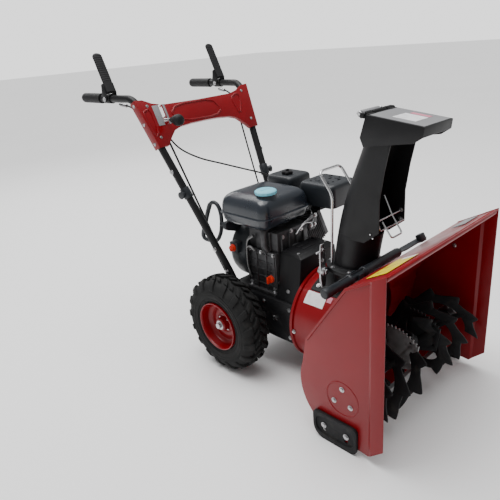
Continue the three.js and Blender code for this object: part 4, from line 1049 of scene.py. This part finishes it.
def clutch_lever(side, name, body):
    raised = Matrix.Rotation(radians(64.5), 3, "X")

    def L(x, y, z):
        return Vector((side * GRIP_X, 1118, LEVER_Z)) + raised @ Vector((x, y, z))

    piece = Piece()
    for wall in (-1, 1):
        outline = chaikin([(-12, -8), (14, -10), (34, 6), (46, 12), (46, 21), (10, 21), (-12, 8)], 1)
        piece.rings([[L(wall * w, y, z) for y, z in outline] for w in (18, 21)])
    piece.rings([[L(x, y, z) for x, z in ((-21, 18.2), (21, 18.2), (21, 22), (-21, 22))] for y in (10, 46)])
    put(piece, "lever_fork_" + name, BLACK, body, ("clutch_lever_" + name,), bevel=0.7)
    blade = Piece()
    rings = []
    for k in range(74):
        y = 14 + 138 * k / 73
        end = sqrt(max(0.03, 1 - max(0, (y - 140) / 12.2) ** 2))
        ridge = 0.6 if 52 < y < 144 and k % 4 < 2 else 0
        half, low, high = (16.8 + ridge) * end, 23.6 - 5.2 * end, 23.6 + (5 + ridge) * end
        rings.append([L(x, y, z) for x, z in chaikin([(-half, low), (half, low), (half, high), (-half, high)], 2)])
    blade.rings(rings)
    put(blade, "lever_blade_" + name, GRIP, body, smooth=25)
    pin = Piece().bolt(L(side * 21, 0, 0), (side, 0, 0), 5.5, 4).bolt(L(-side * 21, 0, 0), (-side, 0, 0), 5.5, 4)
    put(pin, "lever_pin_" + name, STEEL, body)
    spring = Piece().spring((side * 225, 1092, 867.3), (side * 221.5, 1058, 862.8), 5.2, 1.0, 11)
    put(spring, "lever_spring_" + name, STEEL)
    saddle = Piece().collar("Y", 1100, 1136, 13, 16, (side * GRIP_X, LEVER_Z), 32)
    put(saddle, "lever_clamp_" + name, MATT_BLACK, bevel=0.8)


for side, name in SIDES:
    handle(side, name)
clutch_lever(1, "left", "lever_left")
clutch_lever(-1, "right", "lever_right")

DASH_LEAN = atan2(67, 137)


def D(u, v, w):
    return (u, 909 + v * sin(DASH_LEAN) - w * cos(DASH_LEAN), 738 + v * cos(DASH_LEAN) + w * sin(DASH_LEAN))


from_cad("dash", RED, 2.0, "dash_panel")
hexagon = [(-134, 92), (-100, 122), (58, 122), (86, 78), (52, 58), (-90, 62)]
pockets = [hexagon, [(148, 112), (178, 126), (196, 116), (164, 40)],
    [(-240, 112), (-206, 124), (-206, 40), (-224, 26)]]
emblem = Piece()
for pocket in pockets:
    corners = chaikin(pocket, 1)
    emblem.sweep([D(u, v, 16.2) for u, v in corners + corners[:2]], 3.4, 10)
put(emblem, "dash_emboss", RED)
plates = Piece()
for u0, u1 in ((-196, -172), (-154, -146)):
    plates.rings([[D(u, v, w) for u, v in ((u0, 60), (u1, 60), (u1, 130), (u0, 130))] for w in (16.4, 18)])
put(plates, "slot_plates", GREY, bevel=0.5)
screws = Piece()
for side in (-1, 1):
    for v in (8, 78, 144):
        u = 226 + 0.149 * v
        screws.bolt(D(side * (u + 1), v, 0), (side, 0, 0), 4.5, 3.5)
    for u, v in ((206, 22), (212, 132)):
        screws.bolt(D(side * u, v, 16.5), (0, -cos(DASH_LEAN), sin(DASH_LEAN)), 3.6, 2.6)
put(screws, "dash_screws", STEEL)

lever = Piece()
lever.sweep(rounded([(-163, 1013, 777), (-163, 948, 809), (-163, 925, 815), (-163, 880, 816)], 16), 5, 16)
lever.rod("X", 8, -171, -155, (1013, 777), 28).rod("X", 5, -163, -139, (1013, 777), 20).rod("X", 3, -163, -146,
    (977, 795), 16)
put(lever, "speed_stick", STEEL, "speed_lever")
knob = Piece().lathe("Y", [(898, 0), (898, 7), (890, 9), (880, 13), (870, 17), (860, 19), (852, 18.6), (846, 16),
    (842, 11), (840, 0)], (-163, 816), 40)
put(knob, "speed_knob", MATT_BLACK, "speed_lever", ("shift_lever",))
rod = Piece().sweep([(-150, 977, 795), (-115, 702, 250)], 3.5, 14)
rod.collar("X", -152.5, -147.5, 3.6, 9, (978, 794.5), 28)
put(rod, "speed_rod_wire", MATT_BLACK, "speed_rod", ("shift_rod",))

CLUTCH = [(226, 1098, 868), (221, 1050, 862), (214, 1004, 842), (205, 978, 806), (195, 946, 740), (170, 872, 590),
    (150, 800, 440), (135, 742, 320),
        (122, 727, 268), (118, 725.8, 236)]
for side, name in SIDES:
    cable = Piece().sweep(spline([(side * x, y, z) for x, y, z in CLUTCH], 80), 3, 10)
    put(cable, "cable_" + name, BLACK, replaces=("clutch_cable_" + name,))
THROTTLE = [(-138, 988, 800), (-138, 982, 784), (-132, 970, 752), (-108, 942, 706), (-60, 902, 668), (0, 850, 640),
    (55, 795, 615), (92, 752, 598), (108, 733.5, 588)]
put(Piece().sweep(spline(THROTTLE, 80), 3, 10), "cable_throttle", BLACK, replaces=("throttle_cable",))

# ---- floor, light ----
floor = linked("floor", bpy.data.meshes.new("floor"))
floor.data.from_pydata([(-30, -30, -0.0005), (30, -30, -0.0005), (30, 30, -0.0005), (-30, 30, -0.0005)], [],
    [(0, 1, 2, 3)])
floor.data.materials.append(material("floor_white", (0.92, 0.92, 0.92), 0.7, vary=0.01, scale=1, bump=0.0, shine=0.1))

world = bpy.data.worlds.new("world")
bpy.context.scene.world = world
world.use_nodes = True
sky = world.node_tree.nodes["Background"]
sky.inputs["Color"].default_value = (1, 1, 1, 1)
ray = world.node_tree.nodes.new("ShaderNodeLightPath")
level = world.node_tree.nodes.new("ShaderNodeMapRange")
settle(level, To_Min=0.4, To_Max=1.7)
world.node_tree.links.new(ray.outputs["Is Camera Ray"], level.inputs["Value"])
world.node_tree.links.new(level.outputs["Result"], sky.inputs["Strength"])
sun = linked("top_light", bpy.data.lights.new("top_light", "SUN"))
sun.data.energy = 2.8
sun.data.angle = radians(70)
sun.rotation_euler = (radians(-8), radians(6), 0)


def area(name, at, target, size, power):
    light = linked(name, bpy.data.lights.new(name, "AREA"))
    light.data.size = size
    light.data.energy = power
    light.location = at
    light.rotation_euler = (Vector(target) - Vector(at)).to_track_quat("-Z", "Y").to_euler()


area("overhead", (-0.6, 0.4, 3.2), (0, 0, 0.4), 1.6, 45)
area("behind", (0.6, 3.0, 2.6), (0, 0, 0.6), 2.0, 40)
